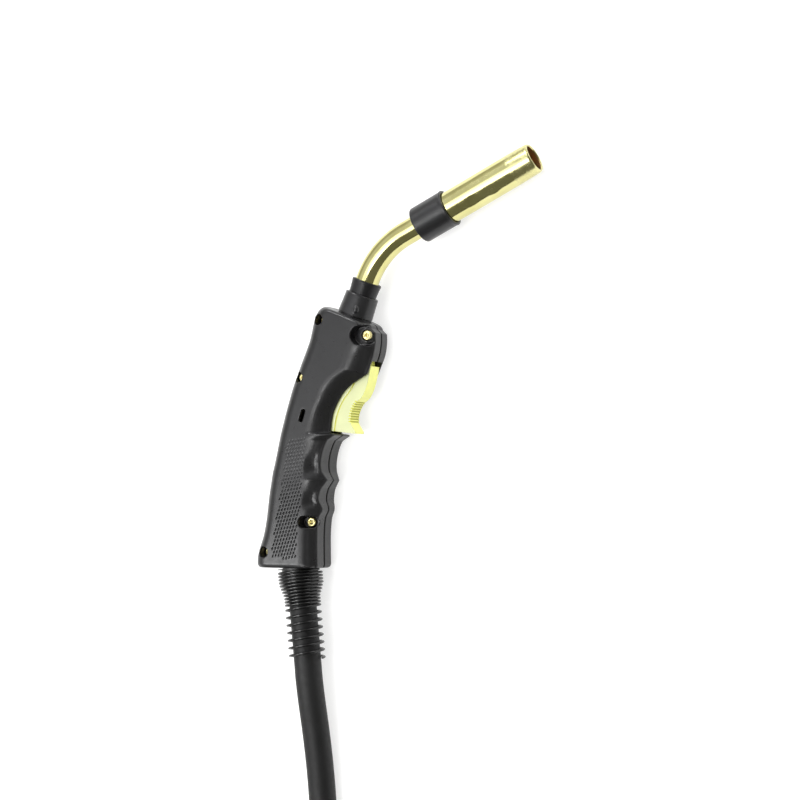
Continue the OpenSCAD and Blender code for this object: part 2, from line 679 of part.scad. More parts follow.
module nozzle_bush() {
    low = catch_d - catch_r - 0.15;
    high = catch_d + catch_r + 0.15;
    to = bush_from + bush_l;
    color([0.55, 0.2, 0.14]) on_nozzle(0) rotate_extrude($fn = 96) polygon([
        [conductor_r + fit, bush_from], [bush_r, bush_from], [bush_r, low], [bush_r - 1.2, low],
        [bush_r - 1.2, high], [bush_r, high], [bush_r, to - 0.6], [bush_r - 0.6, to],
        [holder_r + fit, to], [holder_r + fit, holder_back_d - fit],
        [conductor_r + fit, holder_back_d - fit]]);
}
module nozzle_catch() {
    open_angle = 50;
    color([0.6, 0.6, 0.62]) on_nozzle(catch_d) rotate_extrude(angle = 360 - open_angle, $fn = 96)
        translate([bush_r - catch_r - fit, 0]) circle(r = catch_r, $fn = 24);
}
module gas_diffuser() {
    holes = 8;
    color([0.9, 0.88, 0.82]) on_nozzle(bush_from + bush_l + fit) difference() {
        cylinder(r = bush_r - 0.5, h = diffuser_l, $fn = 64);
        translate([0, 0, -lap]) cylinder(r = holder_r + fit, h = diffuser_l + 2 * lap, $fn = 64);
        for (k = [1:holes]) rotate([0, 0, 360 * k / holes]) translate([0, 0, diffuser_l / 2])
            rotate([0, 90, 0]) cylinder(r = gas_hole_r, h = bore_r + lap, $fn = 24);
    }
}
module tip_holder() {
    thread_end = holder_front_d - thread_l - 0.4;
    color([0.8, 0.68, 0.35]) on_nozzle(0) rotate_extrude($fn = 96) polygon([
        [liner_r + liner_gap, holder_back_d], [holder_r, holder_back_d], [holder_r, holder_front_d - 1],
        [holder_r - 1, holder_front_d], [thread_r + fit, holder_front_d], [thread_r + fit, thread_end],
        [liner_r + liner_gap, thread_end]]);
}
module contact_tip() {
    wire_r = 0.7;
    tip_r = tip_d / 2;
    thread_from = holder_front_d - thread_l;
    color([0.75, 0.42, 0.26]) on_nozzle(0) rotate_extrude($fn = 96) polygon([
        [wire_r, thread_from], [thread_r, thread_from], [thread_r, holder_front_d],
        [tip_r, holder_front_d], [tip_r, tip_end_d - 6], [tip_r - 1, tip_end_d], [wire_r, tip_end_d]]);
}

// ---- trigger and switch ----

function on_arc(a, r) = arc_c + r * [cos(a), sin(a)];
function arc_points(from, to, r, n) = [for (k = [0:n]) on_arc(from + (to - from) * k / n, r)];
// Outline from the hook up the back, and from the hub down the front to the finger arc
TRIGGER_BACK = [[26.8, 42], [27.4, 48.6], [29.4, 56.4], [33.6, 64.6], [38.2, 70.9], [43.5, 75.4]];
TRIGGER_HUB = [[46.3, 75.8], [49.6, 84.2], [50.5, 91], [55, 97], [60, 93]];
TRIGGER_FRONT = [[61.3, 88.3], [59.8, 81.3], [57.9, 74], [56.2, 69.5], [53.8, 65.2]];
TRIGGER_HOOK = [[46.6, 44], [48.5, 41], [48.4, 39.5]];
// Front edge of the raised rim, and the hollow behind the finger arc
RIM_EDGE = [[47.5, 75], [44.4, 70], [38.6, 62.6], [34.8, 55], [32.8, 48], [31.8, 41.4]];
HOLLOW_LOW = [[20, 43.6], [45.6, 41.6], [43.4, 45]];
HOLLOW_HIGH = [[52.2, 66.6], [54.4, 71], [56.2, 77], [20, 77]];
module across_trigger(trim) {
    translate([0, 0, mid_z - trigger_w / 2 + trim]) linear_extrude(height = trigger_w - 2 * trim) children();
}
module trigger() {
    rib_r = 0.6;
    rib_in = 4;
    rib_span = arc_to - arc_from - 2 * rib_in;
    color([0.78, 0.85, 0.2]) difference() {
        union() {
            across_trigger(rim_step) polygon(concat(TRIGGER_BACK, TRIGGER_HUB, TRIGGER_FRONT,
                arc_points(arc_from, arc_to, arc_r, 8), TRIGGER_HOOK));
            across_trigger(rim_step) translate(pivot_p) circle(r = hub_r, $fn = 48);
            across_trigger(0) polygon(concat(TRIGGER_BACK, RIM_EDGE));
        }
        across_trigger(trigger_wall) polygon(concat(HOLLOW_LOW,
            arc_points(arc_to, arc_from, arc_r + trigger_wall, 6), HOLLOW_HIGH));
        across_trigger(-lap) translate(pivot_p) circle(r = pin_d / 2 + fit, $fn = 48);
        for (k = [0:rib_count - 1]) across_trigger(0)
            translate(on_arc(arc_from + rib_in + rib_span * k / (rib_count - 1), arc_r - 0.25))
                circle(r = rib_r, $fn = 16);
    }
}
module trigger_pin() {
    color([0.7, 0.7, 0.72]) translate([pivot_p[0], pivot_p[1], mid_z - pin_l / 2])
        cylinder(d = pin_d, h = pin_l, $fn = 48);
}
module switch_body() {
    color([0.12, 0.12, 0.12]) translate([top_p[0], top_p[1], mid_z]) rotate([0, 0, -neck_lean]) difference() {
        translate([switch_back, switch_t, -switch_half])
            cube([switch_front - switch_back, switch_l, 2 * switch_half]);
        translate([plunger_back - plunger_travel, plunger_t, 0]) rotate([0, 90, 0])
            cylinder(r = plunger_r + fit, h = switch_front - plunger_back + plunger_travel + lap, $fn = 32);
    }
}
module switch_plunger() {
    color([0.8, 0.2, 0.15]) translate([top_p[0], top_p[1], mid_z]) rotate([0, 0, -neck_lean])
        translate([plunger_back, plunger_t, 0]) rotate([0, 90, 0])
            cylinder(r = plunger_r, h = plunger_tip - plunger_back, $fn = 32);
}
// Leads from the switch past the neck block to the cable: along the neck, in front of it, above the seam
LEAD_LINE = [[switch_t - fit, 12.5, 2.6], [switch_t - lap, 12.5, 2.6], [-51.5, 10.6, 3.7], [-55.5, 7.4, 5.9],
    [-62.5, 4.8, 6.9], [-66.5, 3.5, 7.8], [-69, 2, 9.1], [-73, 0.6, 10], [-80, 0, 10.1],
    [ferrule_top + fit, 0, 10.1]];
function handle_point(t, p, z) = let(q = top_p + t * neck_dir + p * front_dir) [q[0], q[1], mid_z + z];
module switch_leads() {
    lead_r = 0.6;
    for (s = [-1, 1]) color(s > 0 ? [0.7, 0.1, 0.1] : [0.1, 0.1, 0.1])
        tube([for (q = LEAD_LINE) handle_point(q[0], q[1], q[2] * s)], lead_r, 8);
}

// ---- cable ----

seat_r = flare_r * cos(180 / spring_steps) - spring_wire / 2 - seat_gap;
spigot_turns = flare_turns + taper_turns * 0.5;
seat_end_r = spring_rad(spigot_turns + 1) * cos(180 / spring_steps) - spring_wire / 2 - seat_gap;
module spring_seat() {
    rim_end = spring_start - spring_wire / 2 + 0.2;
    color([0.1, 0.1, 0.1]) on_foot(0) rotate_extrude($fn = 96) polygon([
        [cable_r + fit, -seat_flange_top], [flange_r, -seat_flange_top], [flange_r, -wall - end_round - fit],
        [seat_neck_r, -wall - end_round - fit], [seat_neck_r, fit], [flare_r + 0.6, fit],
        [flare_r + 0.6, rim_end], [seat_r, rim_end],
        [seat_r, spring_start + close_pitch * (flare_turns - 0.5)],
        [seat_end_r, spring_start + close_pitch * spigot_turns],
        [cable_r + fit, spring_start + close_pitch * spigot_turns]]);
}
// Support spring: distance along its axis and radius after a number of turns
function spring_d(n) = spring_start + spring_wire / 2
    + (n < close_turns ? n * close_pitch : close_l + (n - close_turns) * open_pitch);
function spring_rad(n) = flare_r - (flare_r - spring_r)
    * (n < flare_turns ? 0 : n > flare_turns + taper_turns ? 1 : (n - flare_turns) / taper_turns);
function foot_point(d, a, r) = let(
        side = [cos(cable_lean), sin(cable_lean)], q = foot_p - d * foot_dir + r * cos(a) * side)
    [q[0], q[1], mid_z + r * sin(a)];
SPRING_LINE = [for (k = [0:(close_turns + open_turns) * spring_steps]) let(n = k / spring_steps)
    foot_point(spring_d(n), 360 * n, spring_rad(n))];
module support_spring() {
    gap = min([for (i = [0:len(SPRING_LINE) - spring_steps - 2]) for (j = [-1:1])
        norm(SPRING_LINE[i] - SPRING_LINE[min(i + spring_steps + j, len(SPRING_LINE) - 1)])]) - spring_wire;
    echo(spring_least_gap = gap);
    color([0.08, 0.08, 0.08]) spring_tube(SPRING_LINE, spring_wire / 2, 6);
}
// The wire's rings stand on the spring's own axis, so the turns stay square to their path
function wire_ring(p, i, r, n) = let(
        t = tangent(p, i), w = unit(cross(t, [foot_dir[0], foot_dir[1], 0])), s = cross(w, t))
    [for (k = [0:n - 1]) p[i] + r * (cos(360 * k / n) * s + sin(360 * k / n) * w)];
module spring_tube(p, r, n) {
    rows = len(p);
    polyhedron(points = [for (i = [0:rows - 1]) each wire_ring(p, i, r, n)],
        faces = concat(grid_faces(rows, n, true), cap(0, n, false), cap((rows - 1) * n, n, true)),
        convexity = 20);
}

// Coil: height and place for an angle either side of the turning point
function coil_height(a) = cable_floor + coil_rise * (a <= -90 ? 0 : a >= 90 ? 1 : 0.5 - 0.5 * cos(a + 90));
function coil_point(a) = let(w = a + coil_span + 180)
    [coil_c[0] + coil_radius(a) * cos(w), coil_c[1] + coil_radius(a) * sin(w), coil_height(a)];
coil_count = round(2 * coil_half_turns * coil_steps);
COIL_TURNS = [for (k = [0:coil_count]) coil_point(-coil_span + 2 * coil_span * k / coil_count)];
coil_in = COIL_TURNS[0];
coil_out = COIL_TURNS[coil_count];
COIL_LINE = concat([coil_in + [0, cable_d, 0]], COIL_TURNS, [coil_out - [0, cable_d, 0]]);
module cable_coil() {
    gap = min([for (i = [0:coil_count]) for (j = [i + coil_steps / 2:1:coil_count])
        min(norm(COIL_TURNS[i] - COIL_TURNS[j]),
            norm(COIL_TURNS[i] - (COIL_TURNS[j] + COIL_TURNS[max(j - 1, 0)]) / 2))]) - cable_d;
    echo(coil_least_gap = gap);
    color([0.1, 0.1, 0.1]) tube(COIL_LINE, cable_r, 6, 30);
}
function foot_line(d) = let(q = foot_p - d * foot_dir) [q[0], q[1], mid_z];
CABLE_LINE = concat([for (d = [fit, 14, 28, 42, 56, 70, 80]) foot_line(d)], ROUTE,
    [coil_in + [0, cable_d + seat_gap, 0]]);
// The run to the plug stays on the coil's upper turn at first, then sinks to the plug's height
RUN_LINE = concat([coil_out - [0, cable_d + seat_gap, 0]], [for (s = [0:0.25:1])
    coil_out + [0, -run_flat - (run_l - run_flat) * s, (plug_z - coil_out[2]) * (0.5 - 0.5 * cos(180 * s))]]);
plug_p = [coil_out[0], coil_out[1] - run_l - relief_l];
module cable() {
    color([0.1, 0.1, 0.1]) {
        tube(CABLE_LINE, cable_r, 10);
        tube(concat(RUN_LINE, [[plug_p[0], plug_p[1] + relief_in, plug_z]]), cable_r, 10);
    }
}
// Radii of the turns that pass under a tie; the turning point lies at the angle turn_at
turn_at = coil_span + 180;
function turns_at(w) = [for (k = [-9:9]) let(a = w - turn_at + 360 * k)
    if (abs(a) <= coil_span) coil_radius(a)];
module coil_ties() {
    tie_w = 6;
    tie_top = cable_floor + coil_rise + cable_r + seat_gap;
    color([0.15, 0.15, 0.15]) for (w = TIE_AT) let(
            from = min(turns_at(w)) - cable_r - seat_gap,
            to = max(turns_at(w)) + cable_r + seat_gap)
        translate([coil_c[0], coil_c[1], 0]) rotate([0, 0, w]) translate([0, tie_w / 2, 0]) rotate([90, 0, 0])
            linear_extrude(height = tie_w) difference() {
                translate([from - tie_t, 0]) square([to - from + 2 * tie_t, tie_top + tie_t]);
                translate([from, tie_t]) square([to - from, tie_top - tie_t]);
            }
}

// ---- plug ----

module plug_strain_relief() {
    color([0.1, 0.1, 0.1]) on_plug(0) rotate_extrude($fn = 96) polygon([
        [cable_r + fit, -relief_l], [cable_r + 2, -relief_l], [cable_r + 2.6, -relief_l + 2],
        [housing_r - 5, -3], [housing_r - 5, 0], [cable_r + fit, 0]]);
}
module plug_housing() {
    flutes = 12;
    color([0.12, 0.12, 0.13]) on_plug(0) difference() {
        rotate_extrude($fn = 96) polygon([
            [0, 0], [housing_r - 3, 0], [housing_r, 4], [housing_r, housing_l - 14],
            [waist_r, housing_l - 10], [waist_r, housing_l], [shell_in_r, housing_l],
            [shell_in_r, housing_floor], [0, housing_floor]]);
        for (k = [1:flutes]) rotate([0, 0, 360 * k / flutes]) translate([housing_r + 1.2, 0, 10])
            cylinder(r = 2, h = housing_l - 28, $fn = 24);
    }
}
module plug_body() {
    step_d = 24;
    barrel_from = face_back + face_l + 0.5;
    barrel_end = face_back + face_l + barrel_l;
    spigot_r = 5;
    spigot_l = 10;
    color([0.8, 0.68, 0.35]) on_plug(0) difference() {
        rotate_extrude($fn = 96) polygon([
            [0, housing_floor + fit], [shell_in_r - 2, housing_floor + fit], [shell_in_r - 2, step_d],
            [shell_in_r - fit, step_d], [shell_in_r - fit, housing_l - 2], [barrel_r + 1.5, housing_l - 2],
            [barrel_r + 1.5, face_back], [barrel_r - seat_gap, face_back],
            [barrel_r - seat_gap, barrel_from], [barrel_r, barrel_from], [barrel_r, barrel_end - 1],
            [barrel_r - 1, barrel_end], [spigot_r, barrel_end], [spigot_r, barrel_end + spigot_l - 1],
            [spigot_r - 0.8, barrel_end + spigot_l], [0, barrel_end + spigot_l]]);
        translate([0, 0, 2 * housing_floor]) cylinder(r = liner_r, h = 2 * barrel_end, $fn = 32);
    }
}
module plug_face() {
    color([0.12, 0.12, 0.13]) on_plug(0) difference() {
        translate([0, 0, face_back]) cylinder(r = nut_bore_r - 0.8, h = face_l, $fn = 96);
        translate([0, 0, face_back - lap]) cylinder(r = barrel_r + fit, h = face_l + 2 * lap, $fn = 64);
        for (s = [-1, 1]) translate([control_x * s, control_y, face_back + pin_floor])
            cylinder(r = control_pin_r + fit, h = face_l, $fn = 32);
    }
}
module control_pin(s) {
    color([0.85, 0.75, 0.4]) on_plug(0) translate([control_x * s, control_y, face_back + pin_back])
        cylinder(r = control_pin_r, h = face_l - pin_back + control_out, $fn = 32);
}
module control_pin_1() {
    control_pin(-1);
}
module control_pin_2() {
    control_pin(1);
}
module plug_nut() {
    grooves = 24;
    color([0.12, 0.12, 0.13]) on_plug(0) difference() {
        rotate_extrude($fn = 96) polygon([
            [waist_r + seat_gap, nut_from], [nut_r - 2, nut_from], [nut_r, nut_from + 3],
            [nut_r, nut_to - 1], [nut_r - 1.5, nut_to], [nut_bore_r, nut_to],
            [nut_bore_r, nut_back + seat_gap], [waist_r + seat_gap, nut_back + seat_gap]]);
        for (k = [1:grooves]) rotate([0, 0, 360 * k / grooves]) translate([nut_r + 0.7, 0, nut_from + 4])
            cylinder(r = 1.5, h = nut_l - 9, $fn = 20);
    }
}

upper_shell();
lower_shell();
shell_screws();
neck_collar();
neck_sleeve();
neck_tube();
neck_insulation();
inner_conductor();
wire_liner();
neck_block();
cable_nut();
cable_ferrule();
cable_lead_in();
nozzle_collar();
gas_nozzle();
nozzle_bush();
nozzle_catch();
gas_diffuser();
tip_holder();
contact_tip();
trigger();
trigger_pin();
switch_body();
switch_plunger();
switch_leads();
spring_seat();
support_spring();
cable();
cable_coil();
coil_ties();
plug_strain_relief();
plug_housing();
plug_nut();
plug_face();
plug_body();
control_pin_1();
control_pin_2();
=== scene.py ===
"""MIG welding torch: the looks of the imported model. Lengths are in millimetres, in the frame of the CAD."""

import math

import bmesh
import bpy
import numpy as np
from mathutils import Matrix, Vector


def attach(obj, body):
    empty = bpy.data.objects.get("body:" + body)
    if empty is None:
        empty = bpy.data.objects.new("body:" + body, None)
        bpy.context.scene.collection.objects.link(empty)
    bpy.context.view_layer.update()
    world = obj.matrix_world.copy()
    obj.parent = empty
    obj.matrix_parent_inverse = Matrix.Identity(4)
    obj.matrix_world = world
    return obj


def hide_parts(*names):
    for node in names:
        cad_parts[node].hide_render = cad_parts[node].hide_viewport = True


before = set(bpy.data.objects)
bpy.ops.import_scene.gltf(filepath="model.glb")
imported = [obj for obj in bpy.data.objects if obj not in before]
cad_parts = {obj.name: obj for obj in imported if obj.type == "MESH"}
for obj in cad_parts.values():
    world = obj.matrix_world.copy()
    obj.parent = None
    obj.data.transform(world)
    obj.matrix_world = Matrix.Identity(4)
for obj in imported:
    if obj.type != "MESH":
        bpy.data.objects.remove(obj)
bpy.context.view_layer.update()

MM = 0.001

# ---- sizes, as in the part's source ----

HANDLE_T = 34.0
MID_Z = HANDLE_T / 2
WALL = 2.6
BACK_R = 12.0
EDGE_R = 1.4
END_ROUND = 2.4
NECK_LEAN = 22.0
NECK_R = 8.5
NECK_WALL = 1.5
NECK_BEND = 43.0
BEND_R = 58.0
NECK_STRAIGHT = 27.5
NECK_GRIP = 34.0
COLLAR_H = 16.4
COLLAR_R = 12.65
COLLAR_TOP_R = 11.8
SLEEVE_R = 9.9
SLEEVE_TOP_R = 10.75
SLEEVE_H = 10.2
NOZZLE_R = 11.3
MOUTH_R = 10.8
BORE_R = 8.9
COLLAR_BACK = 13.0
COLLAR_FRONT = 39.2
NOZZLE_COLLAR_R = 13.2
NOZZLE_BACK = 30.9
MOUTH_AT = 109.4
TUBE_END = 29.7
CABLE_D = 19.5
CABLE_R = CABLE_D / 2
CABLE_LEAN = 5.7
TOP = (44.5, 122.9)
FOOT = (0.0, -55.5)
SCREWS = [(23.4, 120.5, 3.6), (61.3, 108, 11.2), (7, 80, 5.8), (14.2, -22.8, 6.4), (-21, -44.2, 5.2)]
PIVOT = (54.5, 94.5)

# Handle outline: rear x and y, front x and y, half width of the front band, ridge distance, cove, steps
OUTLINE = [
    (-31.6, -52.8, 20.2, -52.8, 11, 9.8, 0, 2), (-31, -46, 20, -44, 11, 9.8, 0, 2),
    (-26.5, -32.5, 20, -31, 11, 9.8, 0, 2), (-24.2, -21.5, 21, -20, 11, 10.5, 0, 2),
    (-23.2, -14, 23.6, -13.8, 10, 12, 0.1, 2), (-22.1, -5, 21.7, -6.5, 12.4, 10, 0.35, 2),
    (-20.7, 4, 23.5, 1.2, 11.5, 11, 0.3, 1), (-20, 8, 27.5, 6.9, 9.8, 14, 0.1, 1),
    (-19.2, 12, 24.3, 12.6, 12.2, 11.5, 0.3, 2), (-17.4, 19, 23.7, 19.5, 12.8, 10.5, 0.35, 2),
    (-15.5, 27, 25.4, 27.8, 12.6, 11, 0.3, 2), (-13.7, 35, 29, 35.2, 12.4, 13, 0.1, 1),
    (-13, 38, 34.4, 38.4, 12.4, 14.5, 0, 1), (-12.8, 39, 34.6, 39.4, 12, 14.5, 0, 1),
    (-12.4, 40.6, 29.6, 40.5, 9.4, 11, 0.55, 1), (-10.6, 47, 30.3, 47.5, 9.2, 9.6, 0.55, 2),
    (-8.6, 54, 32.2, 55.6, 9.2, 9, 0.55, 2), (-5.8, 63, 36.2, 63.2, 9.2, 9.2, 0.55, 2),
    (-2.6, 73, 40.4, 68.9, 9.2, 10.6, 0.55, 2), (0.6, 81, 46.2, 73.9, 9.2, 11.6, 0.55, 2),
    (3.6, 88.5, 52.4, 77.6, 9.2, 11.6, 0.55, 1), (6.4, 95, 58.8, 81, 9.4, 11.4, 0.55, 1),
    (9.4, 102, 61.6, 87.6, 9.6, 11.4, 0.5, 2), (11.8, 108.5, 64.4, 95, 10, 12, 0.3, 2),
    (13.6, 116, 65.8, 103, 10, 8.6, 0, 2), (15.6, 123.8, 65.8, 110, 10, 7, 0, 1)]
TOP_BACK = 25.6
TOP_FRONT = 19.4
TOP_CORNER_R = 5.5

# Support spring
SPRING_R, FLARE_R, SPRING_WIRE = 12.3, 15.35, 1.8
CLOSE_PITCH, OPEN_PITCH, CLOSE_TURNS, OPEN_TURNS = 2.3, 5.35, 11, 7
SPRING_START, FLARE_TURNS, TAPER_TURNS = 1.3, 4, 4

# Cable route: listed points, then the coil and the run to the plug
ROUTE = [(9.6, -150, 16.2), (11.4, -168, 14.2), (13, -186, 12.4), (14.4, -204, 11.1), (15.6, -222, 10.4),
         (16.8, -242, 10.1), (17.9, -264, 10.1), (18.9, -287, 10.4), (19.6, -308, 10.9), (19.9, -326, 11.2)]
TIE_T = 1.2
SEAT_GAP = 0.3
COIL_FLOOR = CABLE_R + TIE_T + SEAT_GAP
COIL_R, COIL_PITCH, COIL_RISE, COIL_HALF = 81.0, CABLE_D + 0.7, CABLE_D + 0.9, 2.0
COIL_SPAN = COIL_HALF * 360
COIL_EASE, COIL_CLIMB = 20.0, 90
COIL_START_X, COIL_START_Y = 20.0, -362.0
PLUG_Z = 24.2
RUN_FLAT, RUN_L, RELIEF_L, RELIEF_IN = 46.0, 104.0, 46.0, 8.0
TIE_AT = (0, 120, 245)

# Gaps between pieces that seat on each other, and round what passes through a shell
THIN_GAP, HOLE_GAP = 0.05, 0.2


# ---- vectors and places ----

def rot_x(a):
    return Matrix.Rotation(math.radians(a), 4, "X")


def rot_z(a):
    return Matrix.Rotation(math.radians(a), 4, "Z")


def move(x, y, z=0.0):
    return Matrix.Translation((x, y, z))


# Places on the axes of neck, nozzle and cable: their own Z runs outwards from the handle
NECK_PLACE = move(*TOP, MID_Z) @ rot_z(-NECK_LEAN)
ON_NECK = NECK_PLACE @ rot_x(-90)
ON_NOZZLE = NECK_PLACE @ move(BEND_R, NECK_STRAIGHT) @ rot_z(-NECK_BEND) @ move(-BEND_R, 0) @ rot_x(-90)
ON_FOOT = move(*FOOT, MID_Z) @ rot_z(CABLE_LEAN) @ rot_x(90)


def smoothstep(a, b, x):
    t = np.clip((np.asarray(x, float) - a) / (b - a), 0, 1)
    return t * t * (3 - 2 * t)


def turn_between(a, b):
    """The angle from b to a, within half a turn either way."""
    return (a - b + math.pi) % (2 * math.pi) - math.pi


def spline_point(a, b, c, d, s):
    """The share s of a smooth line's way from b to c, where a comes before them and d after."""
    return b + 0.5 * s * (c - a + s * (2 * a - 5 * b + 4 * c - d + s * (3 * (b - c) + d - a)))


def catmull(points, steps):
    """Smooth line through the points, with this many steps between two of them."""
    out = []
    for i in range(len(points) - 1):
        a, b = Vector(points[max(i - 1, 0)]), Vector(points[i])
        c, d = Vector(points[i + 1]), Vector(points[min(i + 2, len(points) - 1)])
        out += [spline_point(a, b, c, d, k / steps) for k in range(steps)]
    return out + [Vector(points[-1])]


# ---- mesh makers ----

def set_smooth(mesh, smooth=True):
    mesh.polygons.foreach_set("use_smooth", [smooth] * len(mesh.polygons))


def new_object(name, data):
    obj = bpy.data.objects.new(name, data)
    bpy.context.collection.objects.link(obj)
    return obj


def mesh_object(name, points, faces, smooth=True):
    """New object from points in millimetres, its faces turned outwards."""
    mesh = bpy.data.meshes.new(name)
    mesh.from_pydata([tuple(c * MM for c in p) for p in points], [], faces)
    mesh.validate()
    bm = bmesh.new()
    bm.from_mesh(mesh)
    bmesh.ops.recalc_face_normals(bm, faces=bm.faces)
    bm.to_mesh(mesh)
    bm.free()
    set_smooth(mesh, smooth)
    return new_object(name, mesh)


def grid_faces(rows, n, wrap_rows=False):
    """Faces between rings of n points that follow each other; the last one may meet the first."""
    last = rows if wrap_rows else rows - 1
    return [(j * n + i, j * n + (i + 1) % n, ((j + 1) % rows) * n + (i + 1) % n, ((j + 1) % rows) * n + i)
            for j in range(last) for i in range(n)]


def end_caps(rows, n):
    return [tuple(range(n)), tuple(range((rows - 1) * n, rows * n))]


def round_profile(corners):
    """A lathe outline (radius, distance, rounding radius) with its corners rounded; it stays closed."""
    out = []
    n = len(corners)
    for i, (r, d, fillet) in enumerate(corners):
        p = Vector((r, d))
        before = Vector(corners[i - 1][:2]) - p
        after = Vector(corners[(i + 1) % n][:2]) - p
        cut = min(fillet, 0.45 * before.length, 0.45 * after.length)
        if cut < 1e-4:
            out.append(tuple(p))
            continue
        a, b = p + before.normalized() * cut, p + after.normalized() * cut
        for t in (0, 0.2, 0.4, 0.6, 0.8, 1):
            out.append(tuple(a * (1 - t) ** 2 + p * 2 * t * (1 - t) + b * t ** 2))
    return out


def subdivided(profile, longest):
    """A closed outline with no side longer than this."""
    out = []
    for i, p in enumerate(profile):
        q = profile[(i + 1) % len(profile)]
        n = max(1, math.ceil(math.dist(p, q) / longest))
        out += [(p[0] + (q[0] - p[0]) * k / n, p[1] + (q[1] - p[1]) * k / n) for k in range(n)]
    return out


def lathe(name, profile, place, steps, longest, shape=None):
    """Closed outline turned about the place's own Z. shape(angle, radius, distance) may change the radius."""
    line = subdivided(profile, longest)
    points = []
    for j in range(steps):
        a = 2 * math.pi * j / steps
        for r, d in line:
            rr = shape(a, r, d) if shape else r
            points.append(tuple(place @ Vector((rr * math.cos(a), rr * math.sin(a), d))))
    return mesh_object(name, points, grid_faces(steps, len(line), wrap_rows=True))


def tube(name, path, radius, bore, sides):
    """Open tube along a path that bends about Z."""
    points, faces = [], []
    for r in (radius, bore):
        base = len(points)
        for i, p in enumerate(path):
            t = (path[min(i + 1, len(path) - 1)] - path[max(i - 1, 0)]).normalized()
            s = Vector((0, 0, 1)).cross(t).normalized()
            w = t.cross(s)
            for k in range(sides):
                a = 2 * math.pi * k / sides
                points.append(tuple(p + r * (math.cos(a) * s + math.sin(a) * w)))
        faces += [tuple(base + v for v in f) for f in grid_faces(len(path), sides)]
    inner = len(path) * sides
    for base in (0, inner - sides):
        faces += [(base + k, base + (k + 1) % sides, inner + base + (k + 1) % sides, inner + base + k)
                  for k in range(sides)]
    return mesh_object(name, points, faces)


def wire(name, path, radius, sides):
    """Round wire or cable along the path, as a curve of one open spline."""
    curve = bpy.data.curves.new(name, "CURVE")
    curve.dimensions = "3D"
    curve.bevel_depth = radius * MM
    curve.bevel_resolution = sides // 2
    curve.use_fill_caps = True
    line = curve.splines.new("POLY")
    line.points.add(len(path) - 1)
    for point, p in zip(line.points, path):
        point.co = (p[0] * MM, p[1] * MM, p[2] * MM, 1)
    line.use_smooth = True
    return new_object(name, curve)


def prism(name, outline, z0, z1, place=Matrix()):
    """The outline raised from z0 to z1 in the place's own frame."""
    n = len(outline)
    points = [tuple(place @ Vector((x, y, z))) for z in (z0, z1) for x, y in outline]
    faces = [tuple(range(n)), tuple(range(2 * n - 1, n - 1, -1))]
    faces += [(k, (k + 1) % n, n + (k + 1) % n, n + k) for k in range(n)]
    return mesh_object(name, points, faces, smooth=False)


def circle(x, y, r, steps=48, start=0.0, turn=360.0, last=0):
    """Points of an arc, with its last one only if asked: a full turn is a closed outline without it."""
    angles = [math.radians(start + turn * k / steps) for k in range(steps + last)]
    return [(x + r * math.cos(a), y + r * math.sin(a)) for a in angles]


def cylinder(name, r, z0, z1, place):
    return prism(name, circle(0, 0, r, 64), z0, z1, place)


def apply_modifiers(obj):
    """Puts the mesh that the modifiers make in the place of the object's own."""
    bpy.context.view_layer.update()
    ready = obj.evaluated_get(bpy.context.evaluated_depsgraph_get())
    mesh = bpy.data.meshes.new_from_object(ready)
    obj.modifiers.clear()
    obj.data = mesh


def cut(obj, tools, operation="DIFFERENCE"):
    """Takes each tool's space from obj, or joins the tools to it, and removes them."""
    for tool in tools:
        mod = obj.modifiers.new("cut", "BOOLEAN")
        mod.operation = operation
        mod.solver = "MANIFOLD"
        mod.object = tool
        apply_modifiers(obj)
        bpy.data.objects.remove(tool, do_unlink=True)


def moulded(obj, voxel):
    """Even fine mesh with its edges softened, as a moulded piece has them."""
    remesh = obj.modifiers.new("even", "REMESH")
    remesh.mode = "VOXEL"
    remesh.voxel_size = voxel * MM
    smooth = obj.modifiers.new("soft", "SMOOTH")
    smooth.factor = 0.5
    smooth.iterations = 3
    apply_modifiers(obj)
    set_smooth(obj.data)


def vertex_values(obj, kind):
    """One row of three for each vertex: its normal, or as co its place in metres."""
    data = np.empty(len(obj.data.vertices) * 3)
    obj.data.vertices.foreach_get(kind, data)
    return data.reshape(-1, 3)


def vertex_array(obj):
    return vertex_values(obj, "co") / MM


def set_vertices(obj, points):
    obj.data.vertices.foreach_set("co", (points * MM).ravel())
    obj.data.update()


# ---- materials ----

class Nodes:
    """A short way to write a node tree."""

    def __init__(self, tree, coordinates):
        self.tree = tree
        self.place = self.add("ShaderNodeTexCoord").outputs[coordinates]

    def add(self, kind, **values):
        """New node with these values in its inputs, where _ stands for a space in an input's name."""
        node = self.tree.nodes.new(kind)
        for key, value in values.items():
            node.inputs[key.replace("_", " ")].default_value = value
        return node

    def link(self, out, into):
        self.tree.links.new(out, into)


